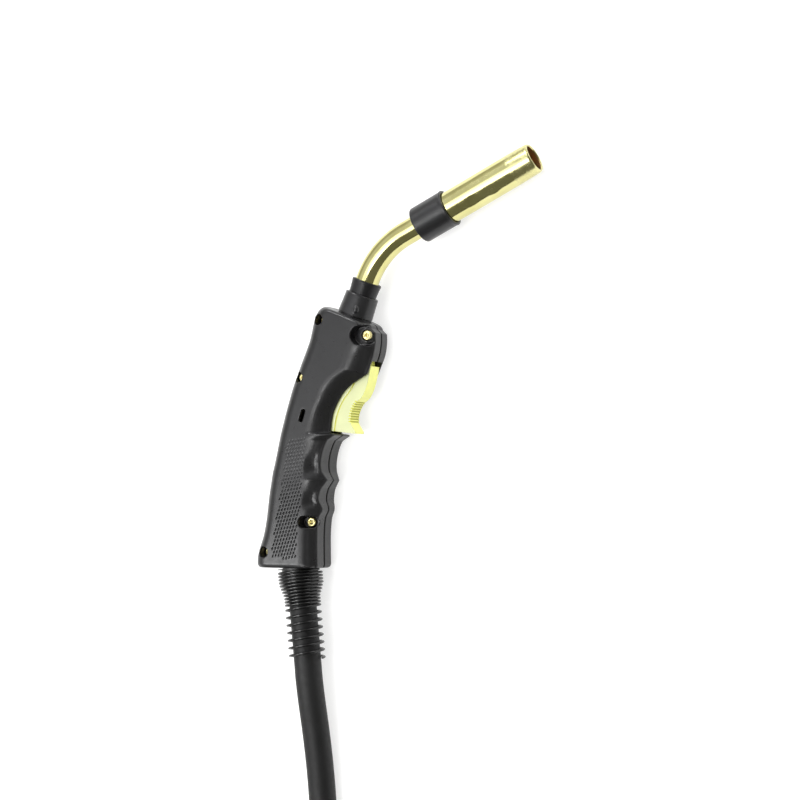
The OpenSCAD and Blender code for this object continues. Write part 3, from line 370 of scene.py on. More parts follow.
class MaterialNodes(Nodes):
    """A new material, with ways to link its shader's inputs and to set them."""

    def __init__(self, name):
        self.mat = bpy.data.materials.new(name)
        self.mat.use_nodes = True
        super().__init__(self.mat.node_tree, "Object")
        self.shader = self.tree.nodes["Principled BSDF"]

    def feed(self, socket, out):
        self.link(out, self.shader.inputs[socket])

    def put(self, socket, value):
        self.shader.inputs[socket].default_value = value

    def noise(self, scale, detail=4.0, rough=0.55, stretch=None):
        node = self.add("ShaderNodeTexNoise", Scale=scale, Detail=detail, Roughness=rough)
        source = self.place
        if stretch:
            mapping = self.add("ShaderNodeMapping", Scale=stretch)
            self.link(source, mapping.inputs["Vector"])
            source = mapping.outputs["Vector"]
        self.link(source, node.inputs["Vector"])
        return node.outputs["Fac"]

    def ramp(self, fac, low, low_color, high, high_color):
        """A noise turned into a mix of two colors."""
        node = self.add("ShaderNodeValToRGB")
        for element, position, color in zip(node.color_ramp.elements, (low, high), (low_color, high_color)):
            element.position = position
            element.color = (*color, 1)
        self.link(fac, node.inputs["Fac"])
        return node.outputs["Color"]

    def span(self, fac, low, high):
        """A noise turned into values from low to high."""
        node = self.add("ShaderNodeMapRange", From_Min=0.3, From_Max=0.7, To_Min=low, To_Max=high)
        self.link(fac, node.inputs["Value"])
        return node.outputs["Result"]

    def bump(self, height, strength, distance, before=None):
        node = self.add("ShaderNodeBump", Strength=strength, Distance=distance * MM)
        self.link(height, node.inputs["Height"])
        if before is not None:
            self.link(before, node.inputs["Normal"])
        return node.outputs["Normal"]


def shade(color, amount):
    return tuple(min(1.0, c * amount) for c in color)


def plastic(name, color, low, high, grain=1600.0, strength=0.12, coat=0.0, spread=0.12, specular=0.45):
    """Plastic or rubber: roughness from low to high, and a fine grain over slow waves."""
    n = MaterialNodes(name)
    n.feed("Base Color", n.ramp(n.noise(90, 5), 0.3, shade(color, 1 - spread), 0.7, shade(color, 1 + spread)))
    n.feed("Roughness", n.span(n.noise(260, 3), low, high))
    fine = n.bump(n.noise(grain, 2), strength, 0.06)
    n.feed("Normal", n.bump(n.noise(60, 2), 0.25, 0.12, fine))
    n.put("Specular IOR Level", specular)
    n.put("Coat Weight", coat)
    n.put("Coat Roughness", 0.25)
    return n.mat


def metal(name, color, low, high, stretch=None, grain=700.0, strength=0.06, wave=0.0, tint=None):
    """Bare metal: stretch draws its marks out, wave bends reflections, tint is a second color."""
    n = MaterialNodes(name)
    n.feed("Base Color", n.ramp(n.noise(45, 4), 0.3, shade(color, 0.9), 0.72, tint or shade(color, 1.08)))
    n.feed("Roughness", n.span(n.noise(180, 4, stretch=stretch), low, high))
    fine = n.bump(n.noise(grain, 3, stretch=stretch), strength, 0.03)
    if wave:
        fine = n.bump(n.noise(42, 1, 0.3), wave, 0.5, fine)
    n.feed("Normal", fine)
    n.put("Metallic", 1.0)
    return n.mat


BRIGHT, DULL = 0.9, 0.3
BRASS_TINT, BORE_TINT, MOUTH_TINT = (0.72, 0.69, 0.34), (0.55, 0.36, 0.16), (0.7, 0.67, 0.34)
ALONG_Z = (1, 1, 6)
shell_plastic = plastic("shell_plastic", (0.009, 0.009, 0.0102), 0.27, 0.37, 1900, 0.16)
black_plastic = plastic("black_plastic", (0.008, 0.008, 0.009), 0.34, 0.46, 1500, 0.14)
collar_black = plastic("collar_black", (0.011, 0.011, 0.0125), 0.28, 0.38, 1200, 0.2)
sleeve_black = plastic("sleeve_black", (0.006, 0.006, 0.007), 0.34, 0.46, 1200, 0.16, specular=DULL)
trigger_lime = plastic("trigger_lime", (0.48, 0.51, 0.25), 0.3, 0.4, 1500, 0.05, 0.15, 0.05, BRIGHT)
# Painted light: the trigger's front faces get this brighter, deeper lime than its sides, standing in for the
# light on the front
trigger_front_painted_light = plastic("trigger_front_painted_light_lime", (0.94, 0.97, 0.22), 0.3, 0.4, 1500, 0.05, 0.15, 0.05, BRIGHT)
# Painted shade: a darker lime in the finger arc's grooves and along the pressed line by the rim, where shade
# falls
trigger_groove_painted_shade = plastic("trigger_groove_painted_shade_lime", (0.5, 0.5, 0.06), 0.4, 0.5, 1500, 0.05, spread=0.05)
white_insulation = plastic("white_insulation", (0.75, 0.75, 0.72), 0.45, 0.55)
bush_red = plastic("bush_red", (0.25, 0.05, 0.03), 0.4, 0.5)
plunger_red = plastic("plunger_red", (0.5, 0.04, 0.03), 0.3, 0.4)
sheath = plastic("sheath_rubber", (0.006, 0.006, 0.0065), 0.46, 0.6, 900, 0.35, specular=DULL)
strap = plastic("strap_weave", (0.02, 0.02, 0.021), 0.75, 0.9, 2600, 0.8)
polished_brass = metal("polished_brass", (0.62, 0.575, 0.235), 0.08, 0.16, None, 500, 0.05, 0.12, BRASS_TINT)
bore_brass = metal("bore_brass", (0.42, 0.24, 0.1), 0.35, 0.5, None, 900, 0.3, 0.0, BORE_TINT)
nozzle_brass = metal("nozzle_brass", (0.65, 0.61, 0.26), 0.09, 0.18, None, 500, 0.06, 0.35, BRASS_TINT)
mouth_brass = metal("mouth_brass", (0.64, 0.6, 0.27), 0.2, 0.32, None, 500, 0.08, 0.3, MOUTH_TINT)
turned_brass = metal("turned_brass", (0.74, 0.66, 0.32), 0.34, 0.5, ALONG_Z)
copper = metal("turned_copper", (0.72, 0.35, 0.2), 0.25, 0.4, ALONG_Z)
steel = metal("plain_steel", (0.5, 0.51, 0.53), 0.28, 0.4)
spring_black = plastic("spring_black", (0.004, 0.004, 0.0045), 0.12, 0.2, 900, 0.08)


def finish_piece(obj, body, slot, material, *nodes):
    """Gives a piece its material and body, and hides the nodes that it replaces; its slot is not used."""
    obj.data.materials.clear()
    obj.data.materials.append(material)
    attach(obj, body)
    if nodes:
        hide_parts(*nodes)
    return obj


# ---- camera ----

CAMERA_TURN, CAMERA_RISE = 27.0, -3.0
CAMERA_REACH, CAMERA_SCALE = 1300.0, 0.70
CAMERA_TARGET = Vector((80.5, 62.8, 17.0))
FRAME_PX, SENSOR = 800, 36
turn, rise = math.radians(CAMERA_TURN), math.radians(CAMERA_RISE)
back = Vector((math.cos(rise) * math.sin(turn), math.sin(rise), math.cos(rise) * math.cos(turn)))
right = Vector((math.cos(turn), 0, -math.sin(turn)))
up = back.cross(right)
camera = new_object("camera", bpy.data.cameras.new("camera"))
camera.data.sensor_width = SENSOR
camera.data.lens = SENSOR * (CAMERA_REACH / CAMERA_SCALE) / FRAME_PX
camera.data.clip_start, camera.data.clip_end = 0.05, 20
camera.matrix_world = Matrix.Translation((CAMERA_TARGET + back * CAMERA_REACH) * MM) @ Matrix(
    (right, up, back)).transposed().to_4x4()
bpy.context.scene.camera = camera


# ---- cable ----

def foot_line(d):
    """Point on the cable's axis at this distance below the handle's foot."""
    a = math.radians(CABLE_LEAN)
    return (FOOT[0] + d * math.sin(a), FOOT[1] - d * math.cos(a), MID_Z)


def coil_radius(a):
    """The coil winds inwards to its least radius at angle 0, and outwards again."""
    return COIL_R + COIL_PITCH * (math.sqrt(a * a + COIL_EASE ** 2) - COIL_EASE) / 360


def coil_height(a):
    """Within COIL_CLIMB of angle 0 the cable climbs on top of its lower turns."""
    share = min(max((a + COIL_CLIMB) / (2 * COIL_CLIMB), 0), 1)
    return COIL_FLOOR + COIL_RISE * (0.5 - 0.5 * math.cos(math.pi * share))


COIL_CENTRE = (COIL_START_X + coil_radius(COIL_SPAN), COIL_START_Y)


def coil_point(a):
    w, r = math.radians(a + COIL_SPAN + 180), coil_radius(a)
    return (COIL_CENTRE[0] + r * math.cos(w), COIL_CENTRE[1] + r * math.sin(w), coil_height(a))


coil_in = coil_point(-COIL_SPAN)
out_x, out_y, out_z = coil_point(COIL_SPAN)
PLUG = (out_x, out_y - RUN_L - RELIEF_L)
COIL_STEPS, RUN_STEPS = 40, 8
FOOT_RUN = (0, 14, 28, 42, 56, 70, 80)
coil_count = round(2 * COIL_HALF * COIL_STEPS)
run_in = [foot_line(d) for d in FOOT_RUN] + ROUTE + [(coil_in[0], coil_in[1] + CABLE_D, coil_in[2])]
run_out = [(out_x, out_y - CABLE_D, out_z)]
for k in range(RUN_STEPS + 1):
    s = k / RUN_STEPS
    ease = 0.5 - 0.5 * math.cos(math.pi * s)
    run_out.append((out_x, out_y - RUN_FLAT - (RUN_L - RUN_FLAT) * s, out_z + (PLUG_Z - out_z) * ease))
cable_line = catmull(run_in, 2)
cable_line += [Vector(coil_point(-COIL_SPAN + 2 * COIL_SPAN * k / coil_count)) for k in range(coil_count + 1)]
cable_line += [Vector(p) for p in run_out] + [Vector((PLUG[0], PLUG[1] + RELIEF_IN, PLUG_Z))]
cable = finish_piece(wire("cable_sheath", cable_line, CABLE_R, 20), "torch", "cable_rubber", sheath,
                     "cable", "cable_coil")

# ---- ties round the coil ----

TURN_AT = COIL_SPAN + 180
TIE_HALF, TIE_FLAT, TIE_EASE = 3.0, 2.6, 0.35
# The way round the strap's section through its eight points
SECTION_ORDER = (3, 4, 6, 7, 5, 2, 0, 1)


def coil_tie(w):
    """Strap round all turns of the coil at the angle w, with its edges eased."""
    turned = [w - TURN_AT + 360 * k for k in range(-9, 10)]
    under = [coil_radius(a) for a in turned if abs(a) <= COIL_SPAN]
    corner = CABLE_R + SEAT_GAP + TIE_T
    low, high = min(under) - corner, max(under) + corner
    top = COIL_FLOOR + COIL_RISE + corner
    loop = []
    for cx, cy, start in ((high - corner, corner, -90), (high - corner, top - corner, 0),
                          (low + corner, top - corner, 90), (low + corner, corner, 180)):
        loop += [(cx, cy, math.radians(start + 90 * k / 8)) for k in range(9)]
    points = []
    for side in (-TIE_HALF, -TIE_FLAT, TIE_FLAT, TIE_HALF):
        inset = TIE_EASE if abs(side) == TIE_HALF else 0.0
        for depth in ((inset, TIE_T - inset) if side > 0 else (TIE_T - inset, inset)):
            r = corner - depth
            points.append([(cx + r * math.cos(a), cy + r * math.sin(a), side) for cx, cy, a in loop])
    place = move(*COIL_CENTRE) @ rot_z(w) @ rot_x(90)
    rings = [points[k] for k in SECTION_ORDER]
    verts = [tuple(place @ Vector(ring[i])) for i in range(len(loop)) for ring in rings]
    return mesh_object(f"coil_strap_{w}", verts, grid_faces(len(loop), len(rings), wrap_rows=True))


tie_pieces = [finish_piece(coil_tie(w), "torch", "collar_plastic", strap) for w in TIE_AT]
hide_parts("coil_ties")

# ---- handle shells ----

# Rounded ends: values of the foot's face and how far its edge is rounded, then the same for the top
FOOT_REAR, FOOT_FRONT, FOOT_BAND, FOOT_RIDGE = -29, 18.2, 11, 6
FOOT_H, FOOT_REAR_OUT, FOOT_FRONT_OUT = 2.7, 2.4, 2
TOP_BAND, TOP_RIDGE, TOP_LIP, TOP_STEPS = 10, 7, 1.0, 8
ROW_STEP = 0.9


def outline_row(k):
    return np.array(OUTLINE[max(0, min(len(OUTLINE) - 1, k))][:7])


def rows():
    """Stations of the handle from foot to top: outline values and the half thickness."""
    out = []
    for e in (0, 0.25, 0.55, 0.8):
        a = math.asin(e)
        y = FOOT[1] + FOOT_H * (1 - math.cos(a))
        out.append((FOOT_REAR - FOOT_REAR_OUT * math.sin(a), y, FOOT_FRONT + FOOT_FRONT_OUT * math.sin(a), y,
                    FOOT_BAND - END_ROUND * (1 - e), FOOT_RIDGE, 0, MID_Z - END_ROUND * (1 - math.sin(a))))
    for k in range(len(OUTLINE) - 1):
        a, b, c, d = (outline_row(k + i) for i in (-1, 0, 1, 2))
        soft = OUTLINE[k][7] == 2
        count = max(2, round(float(np.hypot(*(c[2:4] - b[2:4]))) / ROW_STEP))
        for m in range(count):
            v = spline_point(a, b, c, d, m / count) if soft else b + (c - b) * (m / count)
            out.append((*v, MID_Z))
    n = (math.sin(math.radians(NECK_LEAN)), math.cos(math.radians(NECK_LEAN)))
    f = (n[1], -n[0])

    def top_row(t, rear, front, trim):
        """Station across the neck's axis, at the distance t along it from the top's middle."""
        x, y = TOP[0] + t * n[0], TOP[1] + t * n[1]
        return (x - rear * f[0], y - rear * f[1], x + front * f[0], y + front * f[1],
                TOP_BAND - trim, TOP_RIDGE, 0, MID_Z - trim)

    top_from = len(out)
    last = (*outline_row(len(OUTLINE) - 1), MID_Z)
    start = top_row(-END_ROUND, TOP_BACK, TOP_FRONT + TOP_LIP, 0)
    for m in range(TOP_STEPS):
        out.append(tuple(a + (b - a) * m / TOP_STEPS for a, b in zip(last, start)))
    for e in (0, 0.3, 0.6, 0.85, 1.0):
        k = END_ROUND * (1 - math.sqrt(max(0.0, 1 - e * e)))
        out.append(top_row(-END_ROUND * (1 - e), TOP_BACK - k, TOP_FRONT + TOP_LIP - TOP_LIP * e - k, k))
    # The top's rear corner, rounded in the outline
    for i in range(top_from, len(out)):
        v = out[i]
        below = max(0.0, (TOP[0] - v[0]) * n[0] + (TOP[1] - v[1]) * n[1])
        if below < TOP_CORNER_R:
            pull = TOP_CORNER_R * (1 - math.sqrt(1 - (1 - below / TOP_CORNER_R) ** 2))
            pull = max(0.0, pull - (MID_Z - v[7]))
            out[i] = (v[0] + pull * f[0], v[1] + pull * f[1], *v[2:])
    return out


def cove(s, hollow):
    """Height over the band at the share s of the way to the ridge, rounded out or more or less hollow."""
    return (1 - hollow) * (1 - (1 - s) ** 2) + hollow * s ** 2.2


def depth_way(v):
    """A station's length from rear to front, and its direction."""
    length = math.hypot(v[2] - v[0], v[3] - v[1])
    return length, ((v[2] - v[0]) / length, (v[3] - v[1]) / length)


RIDGE_SOFT, FLAT_END = 4.5, 1.3
SIDE_STEPS, SIDE_MORE, FLAT_STEPS, BAND_STEPS = 16, 21, 8, 6
SEAM_REAR, SEAM_HALF, SEAM_DEEP = 0.35, 0.85, 1.7


def station_profile(v):
    """Half section: distance from the rear and height over the seam, with a groove along the seam."""
    length, _ = depth_way(v)
    h, band, reach = v[7], v[4], v[5] - EDGE_R

    def side(q):
        s = (length - EDGE_R - q) / reach
        return band + (h - band) * cove(min(s, 1.0), v[6])

    def soft_side(q):
        """The side's height averaged over a short stretch, which rounds the ridge but not the band's edge."""
        w = min(RIDGE_SOFT, length - EDGE_R - q)
        return sum(side(q + w * t / 3) for t in range(-3, 4)) / 7

    out = [(SEAM_REAR, 0.0)]
    out += [(BACK_R * (1 - math.cos(a)), h * math.sin(a)) for a in np.radians(np.linspace(2, 90, 15))]
    flat = length - EDGE_R - FLAT_END * reach - BACK_R
    out += [(BACK_R + flat * k / FLAT_STEPS, h) for k in range(1, FLAT_STEPS)]
    for k in range(SIDE_MORE, -1, -1):
        q = length - EDGE_R - reach * k / SIDE_STEPS
        out.append((q, soft_side(q)))
    for a in np.radians((30, 60, 90)):
        out.append((length - EDGE_R * (1 - math.sin(a)), band - EDGE_R * (1 - math.cos(a))))
    for k in range(BAND_STEPS - 1, -1, -1):
        out.append((length, SEAM_HALF + (band - EDGE_R - SEAM_HALF) * k / BAND_STEPS))
    out.append((length - SEAM_DEEP, 0.0))
    return out


STATIONS = rows()
# The stations that bound the hollow: the outline's, and the first of the top's rounded end
INNER_ROWS = [np.array(v[:7]) for v in OUTLINE] + [np.array(STATIONS[-5][:7])]


def shell_body():
    """Closed outer form of the near half, seam at z = 0."""
    rings = []
    for v in STATIONS:
        _, u = depth_way(v)
        rings.append([(v[0] + u[0] * q, v[1] + u[1] * q, h) for q, h in station_profile(v)])
    n = len(rings[0])
    points = [p for ring in rings for p in ring]
    return points, grid_faces(len(rings), n) + end_caps(len(rings), n)


# The hollow follows a bump of the grip by this much at most
BUMP_KEEP = 3


def hollow_outline(back_in, share):
    """Outline of the hollow at one level: it keeps the wall behind and a share of the cove in front."""
    rear, front = [], []
    for i, v in enumerate(INNER_ROWS):
        _, u = depth_way(v)
        near = min(w[2] for w in INNER_ROWS[max(0, i - 2):i + 3])
        depth = WALL + v[5] * (share[0] + share[1] * v[6])
        x = min(v[2], near + BUMP_KEEP)
        rear.append((v[0] + u[0] * back_in, v[1] + u[1] * back_in))
        front.append((x - u[0] * depth, v[3] - u[1] * depth))
    return rear + front[::-1]


TRIGGER_SLOT = [(22, 41.3), (29.6, 40.45), (37, 39.4), (80, 36), (80, 86.6), (66.5, 88.9), (62, 90.1),
                (60.8, 94), (56, 98.2), (50, 98.2), (48.5, 88.6), (43.6, 78.4), (36, 74), (30, 67), (26, 58),
                (23, 50)]
SLOT_HALF = 7.4


def stadium(x, y, r, half, lean=0.0):
    """Oblong with round ends, half its straight length to either side."""
    a = math.radians(lean)
    ends = circle(half, 0, r, 16, -90, 180) + circle(-half, 0, r, 16, 90, 180)
    return [(x + p * math.cos(a) - q * math.sin(a), y + p * math.sin(a) + q * math.cos(a)) for p, q in ends]


# Knurled panel on the flat side: a slanted field of small strokes, deeper towards the foot
PANEL = [(-15, -49), (6.6, -48.8), (15.3, 37.4), (-1.1, 38.3)]
STROKE_A, STROKE_B = (1.02, 2.8), (-1.41, 2.45)
STROKE_LONG, STROKE_WIDE, STROKE_DEEP, STROKE_FLOOR = 1.4, 0.62, 0.75, 0.2
KNURL_LEAST, KNURL_FROM, KNURL_TO = 0.16, -14, 22
PANEL_EDGE, PANEL_DEEP = 0.7, 1.2


def panel_share(points):
    """Places across and along the panel in mm for the points' x and y, with its width and height there."""
    (a, low), (b, _), (c, high), (d, _) = PANEL
    along, tall = points[:, 1] - low, high - low
    t = along / tall
    return points[:, 0] - (a + (d - a) * t), b - a + (c - d - (b - a)) * t, along, tall


def knurl(points):
    """Depth of the knurl at each point: the nearest stroke of the slanted grid, if it fits the panel."""
    grid = np.array([STROKE_A, STROKE_B]).T
    steps = np.linalg.solve(grid, points[:, :2].T).T
    deep = np.zeros(len(points))
    lean = math.atan2(*STROKE_A)
    for i in (0, 1):
        for j in (0, 1):
            centre = (np.floor(steps) + (i, j)) @ grid.T
            across, width, along, tall = panel_share(centre)
            fits = (across > PANEL_EDGE) & (across < width - PANEL_EDGE)
            fits &= (along > PANEL_EDGE) & (along < tall - PANEL_EDGE)
            dx, dy = (points[:, :2] - centre).T
            u = dx * math.cos(lean) - dy * math.sin(lean)
            w = dx * math.sin(lean) + dy * math.cos(lean)
            distance = np.hypot(u / STROKE_WIDE, w / STROKE_LONG)
            fade = KNURL_LEAST + (1 - KNURL_LEAST) * (1 - smoothstep(KNURL_FROM, KNURL_TO, centre[:, 1]))
            stroke = STROKE_DEEP * fade * (1 - smoothstep(STROKE_FLOOR, 1.0, distance))
            deep = np.maximum(deep, np.where(fits, stroke, 0))
    return deep


def knurled_panel(obj, side):
    """Makes the mesh finer within the panel, and presses the knurl into it."""
    flat = MID_Z + side * (MID_Z - PANEL_DEEP)
    points = vertex_array(obj)
    across, width, along, tall = panel_share(points)
    inside = (across > 0) & (across < width) & (along > 0) & (along < tall)
    keep = set(np.nonzero(inside & (side * (points[:, 2] - flat) > 0))[0])
    bm = bmesh.new()
    bm.from_mesh(obj.data)
    edges = [e for e in bm.edges if e.verts[0].index in keep and e.verts[1].index in keep]
    bmesh.ops.subdivide_edges(bm, edges=edges, cuts=1, use_grid_fill=True)
    bm.to_mesh(obj.data)
    bm.free()
    points = vertex_array(obj)
    points[:, 2] -= side * np.where(side * (points[:, 2] - flat) > 0, knurl(points), 0)
    set_vertices(obj, points)
    set_smooth(obj.data)


# Finger scoops: y of the bump below and of the bump above each
SCOOPS = [(8.0, 35.5), (-14.0, 6.5)]
SCOOP_DEEP = 1.6
# A scoop's soft edges: in shares of the cove's depth, mm over the band and shares of its height
SCOOP_FRONT, SCOOP_REAR, SCOOP_BAND = (0.0, 0.4), (0.5, 1.15), (-0.2, 1.0)
SCOOP_LOW, SCOOP_HIGH = (0.0, 0.28), (0.3, 0.8)


def finger_scoops(obj, side):
    """Deepens the cove over each finger groove, steep over the bump below and easing off upwards."""
    points = vertex_array(obj)
    y = points[:, 1]
    order = sorted((v[3], v[2], v[5], v[4]) for v in OUTLINE)
    front, reach, band = (np.interp(y, [v[0] for v in order], [v[k] for v in order]) for k in (1, 2, 3))
    s = (front - EDGE_R - points[:, 0]) / (reach - EDGE_R)
    over = side * (points[:, 2] - MID_Z) - band
    weight = smoothstep(*SCOOP_FRONT, s) * (1 - smoothstep(*SCOOP_REAR, s)) * smoothstep(*SCOOP_BAND, over)
    for low, high in SCOOPS:
        u = (y - low) / (high - low)
        upright = smoothstep(*SCOOP_LOW, u) * (1 - smoothstep(*SCOOP_HIGH, u))
        points[:, 2] -= side * SCOOP_DEEP * weight * upright
    set_vertices(obj, points)


VOXEL = 0.38
BOSS_R, COUNTERBORE_R = 5.2, 4.0
NOSE_FLOOR, NOSE_RING, NOSE_R, NOSE_TAIL_R, NOSE_TAIL, NOSE_PAD_R = 9.0, 14.0, 7.4, 6.8, 5.0, 10.4
GRIP_FLOOR, GRIP_HALF, GRIP_R, GRIP_PAD_R = 7.2, 2.3, 4.25, 8.4
SLOT_AT, SLOT_R, SLOT_LONG, SLOT_LEAN, SLOT_FLOOR = (11, 52.6), 1.6, 3.3, 18, 4
(NOSE_X, NOSE_Y, _), (GRIP_X, GRIP_Y, _) = SCREWS[1], SCREWS[3]
PAD_T = 2
# Parts that the shells clasp
COLLAR_NECK_R, COLLAR_FLANGE_R, COLLAR_GROOVE_R = 12.15, 13.9, 13.95
SEAT_NECK_R, FLARE_DEEP = 12.4, 3.4
# Heights below the seam and over the whole shell, where a cut starts or ends
BELOW, OVER = -1.0, 20
# Levels of the hollow: its rear wall beyond WALL, share of the cove left in front, height over the seam
HOLLOW_LEVELS = [(1.5, (0, 0), 7.6), (3.2, (0.25, 0.5), 11), (6.4, (0.75, 0.25), MID_Z - WALL)]
# Bores on the axes of neck and cable: name, radius, start and end along the axis
NECK_BORES = [("neck_bore", NECK_R + THIN_GAP, -26, 2), ("neck_hole", COLLAR_NECK_R + HOLE_GAP, -5, 2),
              ("collar_groove", COLLAR_GROOVE_R, -14, -5)]
FOOT_BORES = [("foot_hole", SEAT_NECK_R + HOLE_GAP, -6, 2),
              ("foot_recess", FLARE_R + SPRING_WIRE / 2 + SEAT_GAP, -THIN_GAP, FLARE_DEEP),
              ("cable_hole", CABLE_R + 0.1, -14, 2)]


def shell_hollow(near):
    """The hollow inside a shell, without its bosses and the pads under its recesses."""
    levels = [prism("hollow", hollow_outline(WALL + back_in, share), BELOW, top)
              for back_in, share, top in HOLLOW_LEVELS]
    inside = levels[0]
    cut(inside, levels[1:], "UNION")
    kept = [prism("boss", circle(x, y, BOSS_R), -2, MID_Z) for x, y, _ in SCREWS]
    if near:
        for x, y, r, under in ((NOSE_X - NOSE_TAIL / 2, NOSE_Y, NOSE_PAD_R, NOSE_FLOOR),
                               (GRIP_X, GRIP_Y, GRIP_PAD_R, GRIP_FLOOR)):
            kept.append(prism("pad", circle(x, y, r), under - PAD_T, MID_Z))
    cut(inside, kept)
    return inside


def near_side_tools():
    """Counterbores, the recesses at the nose and over the grip, and the slot."""
    tools = [prism("counterbore", circle(x, y, COUNTERBORE_R), seat, OVER) for x, y, seat in SCREWS]
    pocket = prism("pocket", circle(NOSE_X, NOSE_Y, NOSE_R, 64), NOSE_FLOOR, OVER)
    tail = prism("tail", circle(NOSE_X - NOSE_TAIL, NOSE_Y, NOSE_TAIL_R, 64), NOSE_FLOOR, OVER)
    cut(pocket, [tail], "UNION")
    cut(pocket, [prism("ring", circle(NOSE_X, NOSE_Y, BOSS_R), NOSE_FLOOR - 1, NOSE_RING)])
    recess = prism("recess", stadium(GRIP_X, GRIP_Y, GRIP_R, GRIP_HALF), GRIP_FLOOR, OVER)
    slot = prism("slot", stadium(*SLOT_AT, SLOT_R, SLOT_LONG, 90 - SLOT_LEAN), SLOT_FLOOR, OVER)
    return tools + [pocket, recess, slot]


def make_shell(name, near):
    """Half of the handle, formed with its seam at z = 0 and then laid on its side of MID_Z."""
    shell = mesh_object(name, *shell_body())
    down = move(0, 0, -MID_Z)
    tools = [shell_hollow(near)]
    tools += [cylinder(*bore, down @ ON_NECK) for bore in NECK_BORES]
    tools += [cylinder(*bore, down @ ON_FOOT) for bore in FOOT_BORES]
    tools.append(prism("trigger_slot", TRIGGER_SLOT, -SLOT_HALF, SLOT_HALF))
    if near:
        tools += near_side_tools()
    cut(shell, tools)
    side = 1 if near else -1
    points = vertex_array(shell)
    points[:, 2] = MID_Z + side * points[:, 2]
    set_vertices(shell, points)
    if not near:
        shell.data.flip_normals()
    moulded(shell, VOXEL)
    finger_scoops(shell, side)
    knurled_panel(shell, side)
    return shell


for name, near, node in (("shell_near", True, "upper_shell"), ("shell_far", False, "lower_shell")):
    finish_piece(make_shell(name, near), "torch", "handle_plastic", shell_plastic, node)

# ---- screws ----

SHANK_R, SCREW_REACH, SCREW_STEPS = 1.75, 9.0, 48
HEAD_H, SOCKET_R, SOCKET_TURN, SOCKET_EDGE = 2.6, 1.5, 0.35, 1.06
# Radius (None: the socket) and height over the seat, from the head's underside to the socket's floor
HEAD_RINGS = [(3.1, 0), (3.3, 0.2), (3.3, 1.9), (3.2, 2.3), (2.9, 2.55), (2.4, HEAD_H), (None, HEAD_H),
              (None, 2.45), (None, 1.1), (0.01, 1.0)]


def socket_radius(a):
    """Distance from the middle of a hexagon socket to its side in the direction a."""
    sixth = math.pi / 6
    return SOCKET_R * math.cos(sixth) / math.cos((a + SOCKET_TURN) % (2 * sixth) - sixth)


def screw(name, x, y, seat):
    """Cylinder head with a domed edge and a hexagon socket, on its shank."""
    end = -SCREW_REACH - seat
    rings = [(0.01, end), (SHANK_R, end), (SHANK_R, -0.05), (SHANK_R, 0)] + HEAD_RINGS
    points = []
    for r, z in rings:
        for k in range(SCREW_STEPS):
            a = 2 * math.pi * k / SCREW_STEPS
            size = socket_radius(a) * (SOCKET_EDGE if z == HEAD_H else 1.0) if r is None else r
            points.append((x + size * math.cos(a), y + size * math.sin(a), MID_Z + seat + z))
    return mesh_object(name, points, grid_faces(len(rings), SCREW_STEPS) + end_caps(len(rings), SCREW_STEPS))


screws = [finish_piece(screw(f"screw_{i + 1}", *place), "torch", "machined_brass", turned_brass)
          for i, place in enumerate(SCREWS)]
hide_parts("shell_screws")

# ---- neck ----

BEND_STEPS = 40


def bent_line(before, after):
    """Middle line of the neck: the bend, with a straight run before it and after it."""
    out = [(0, -before + before * k / 12, 0) for k in range(12)]
    for k in range(BEND_STEPS + 1):
        a = math.radians(NECK_BEND * k / BEND_STEPS)
        out.append((BEND_R - BEND_R * math.cos(a), BEND_R * math.sin(a), 0))
    x, y, _ = out[-1]
    out += [(x + after * math.sin(a) * k / 8, y + after * math.cos(a) * k / 8, 0) for k in range(1, 9)]
    return [NECK_PLACE @ move(0, NECK_STRAIGHT) @ Vector(p) for p in out]


neck = tube("neck_brass_tube", bent_line(NECK_STRAIGHT + NECK_GRIP, TUBE_END), NECK_R, NECK_R - NECK_WALL, 72)
finish_piece(neck, "torch", "neck_brass", polished_brass, "neck_tube")

BUMP_TURN, BUMP_AT = math.radians(-66), 6.2
BUMP_ROUND, BUMP_ALONG, BUMP_H = 2.0, 2.7, 1.5
FLANGE_BACK, FLANGE_FRONT, COLLAR_FOOT, SLEEVE_FLARE = -13.95, -5.05, 1.2, 24


def collar_bump(a, r, d):
    """A low oval button on the collar's side."""
    if r < COLLAR_TOP_R - 1:
        return r
    distance = math.hypot(turn_between(a, BUMP_TURN) * r / BUMP_ROUND, (d - BUMP_AT) / BUMP_ALONG)
    return r + BUMP_H * math.sqrt(max(0.0, 1 - distance ** 2))


collar = lathe("neck_collar_step", round_profile([
    (SLEEVE_R + THIN_GAP, FLANGE_BACK, 0), (COLLAR_FLANGE_R, FLANGE_BACK, 0.4),
    (COLLAR_FLANGE_R, FLANGE_FRONT, 0.4), (COLLAR_NECK_R, FLANGE_FRONT, 0), (COLLAR_NECK_R, COLLAR_FOOT, 0),
    (COLLAR_R, COLLAR_FOOT, 0.4), (COLLAR_TOP_R + 0.1, COLLAR_H - 0.6, 0.3),
    (COLLAR_TOP_R - 0.2, COLLAR_H, 0.6), (SLEEVE_R + THIN_GAP, COLLAR_H, 0.2)]), ON_NECK, 160, 0.6, collar_bump)
finish_piece(collar, "torch", "collar_plastic", collar_black, "neck_collar")
sleeve = lathe("neck_sleeve_flared", round_profile([
    (NECK_R + THIN_GAP, FLANGE_BACK, 0), (SLEEVE_R, FLANGE_BACK, 0.3), (SLEEVE_R, COLLAR_H + 1, 2),
    (SLEEVE_TOP_R - 0.35, SLEEVE_FLARE, 1.5), (SLEEVE_TOP_R, COLLAR_H + SLEEVE_H - 0.9, 0.4),
    (SLEEVE_TOP_R - 0.3, COLLAR_H + SLEEVE_H, 0.5), (NECK_R + THIN_GAP, COLLAR_H + SLEEVE_H, 0.3)]),
    ON_NECK, 128, 1.0)
finish_piece(sleeve, "torch", "collar_plastic", sleeve_black, "neck_sleeve")

# ---- nozzle ----

MOUTH_ZONE = 92.0
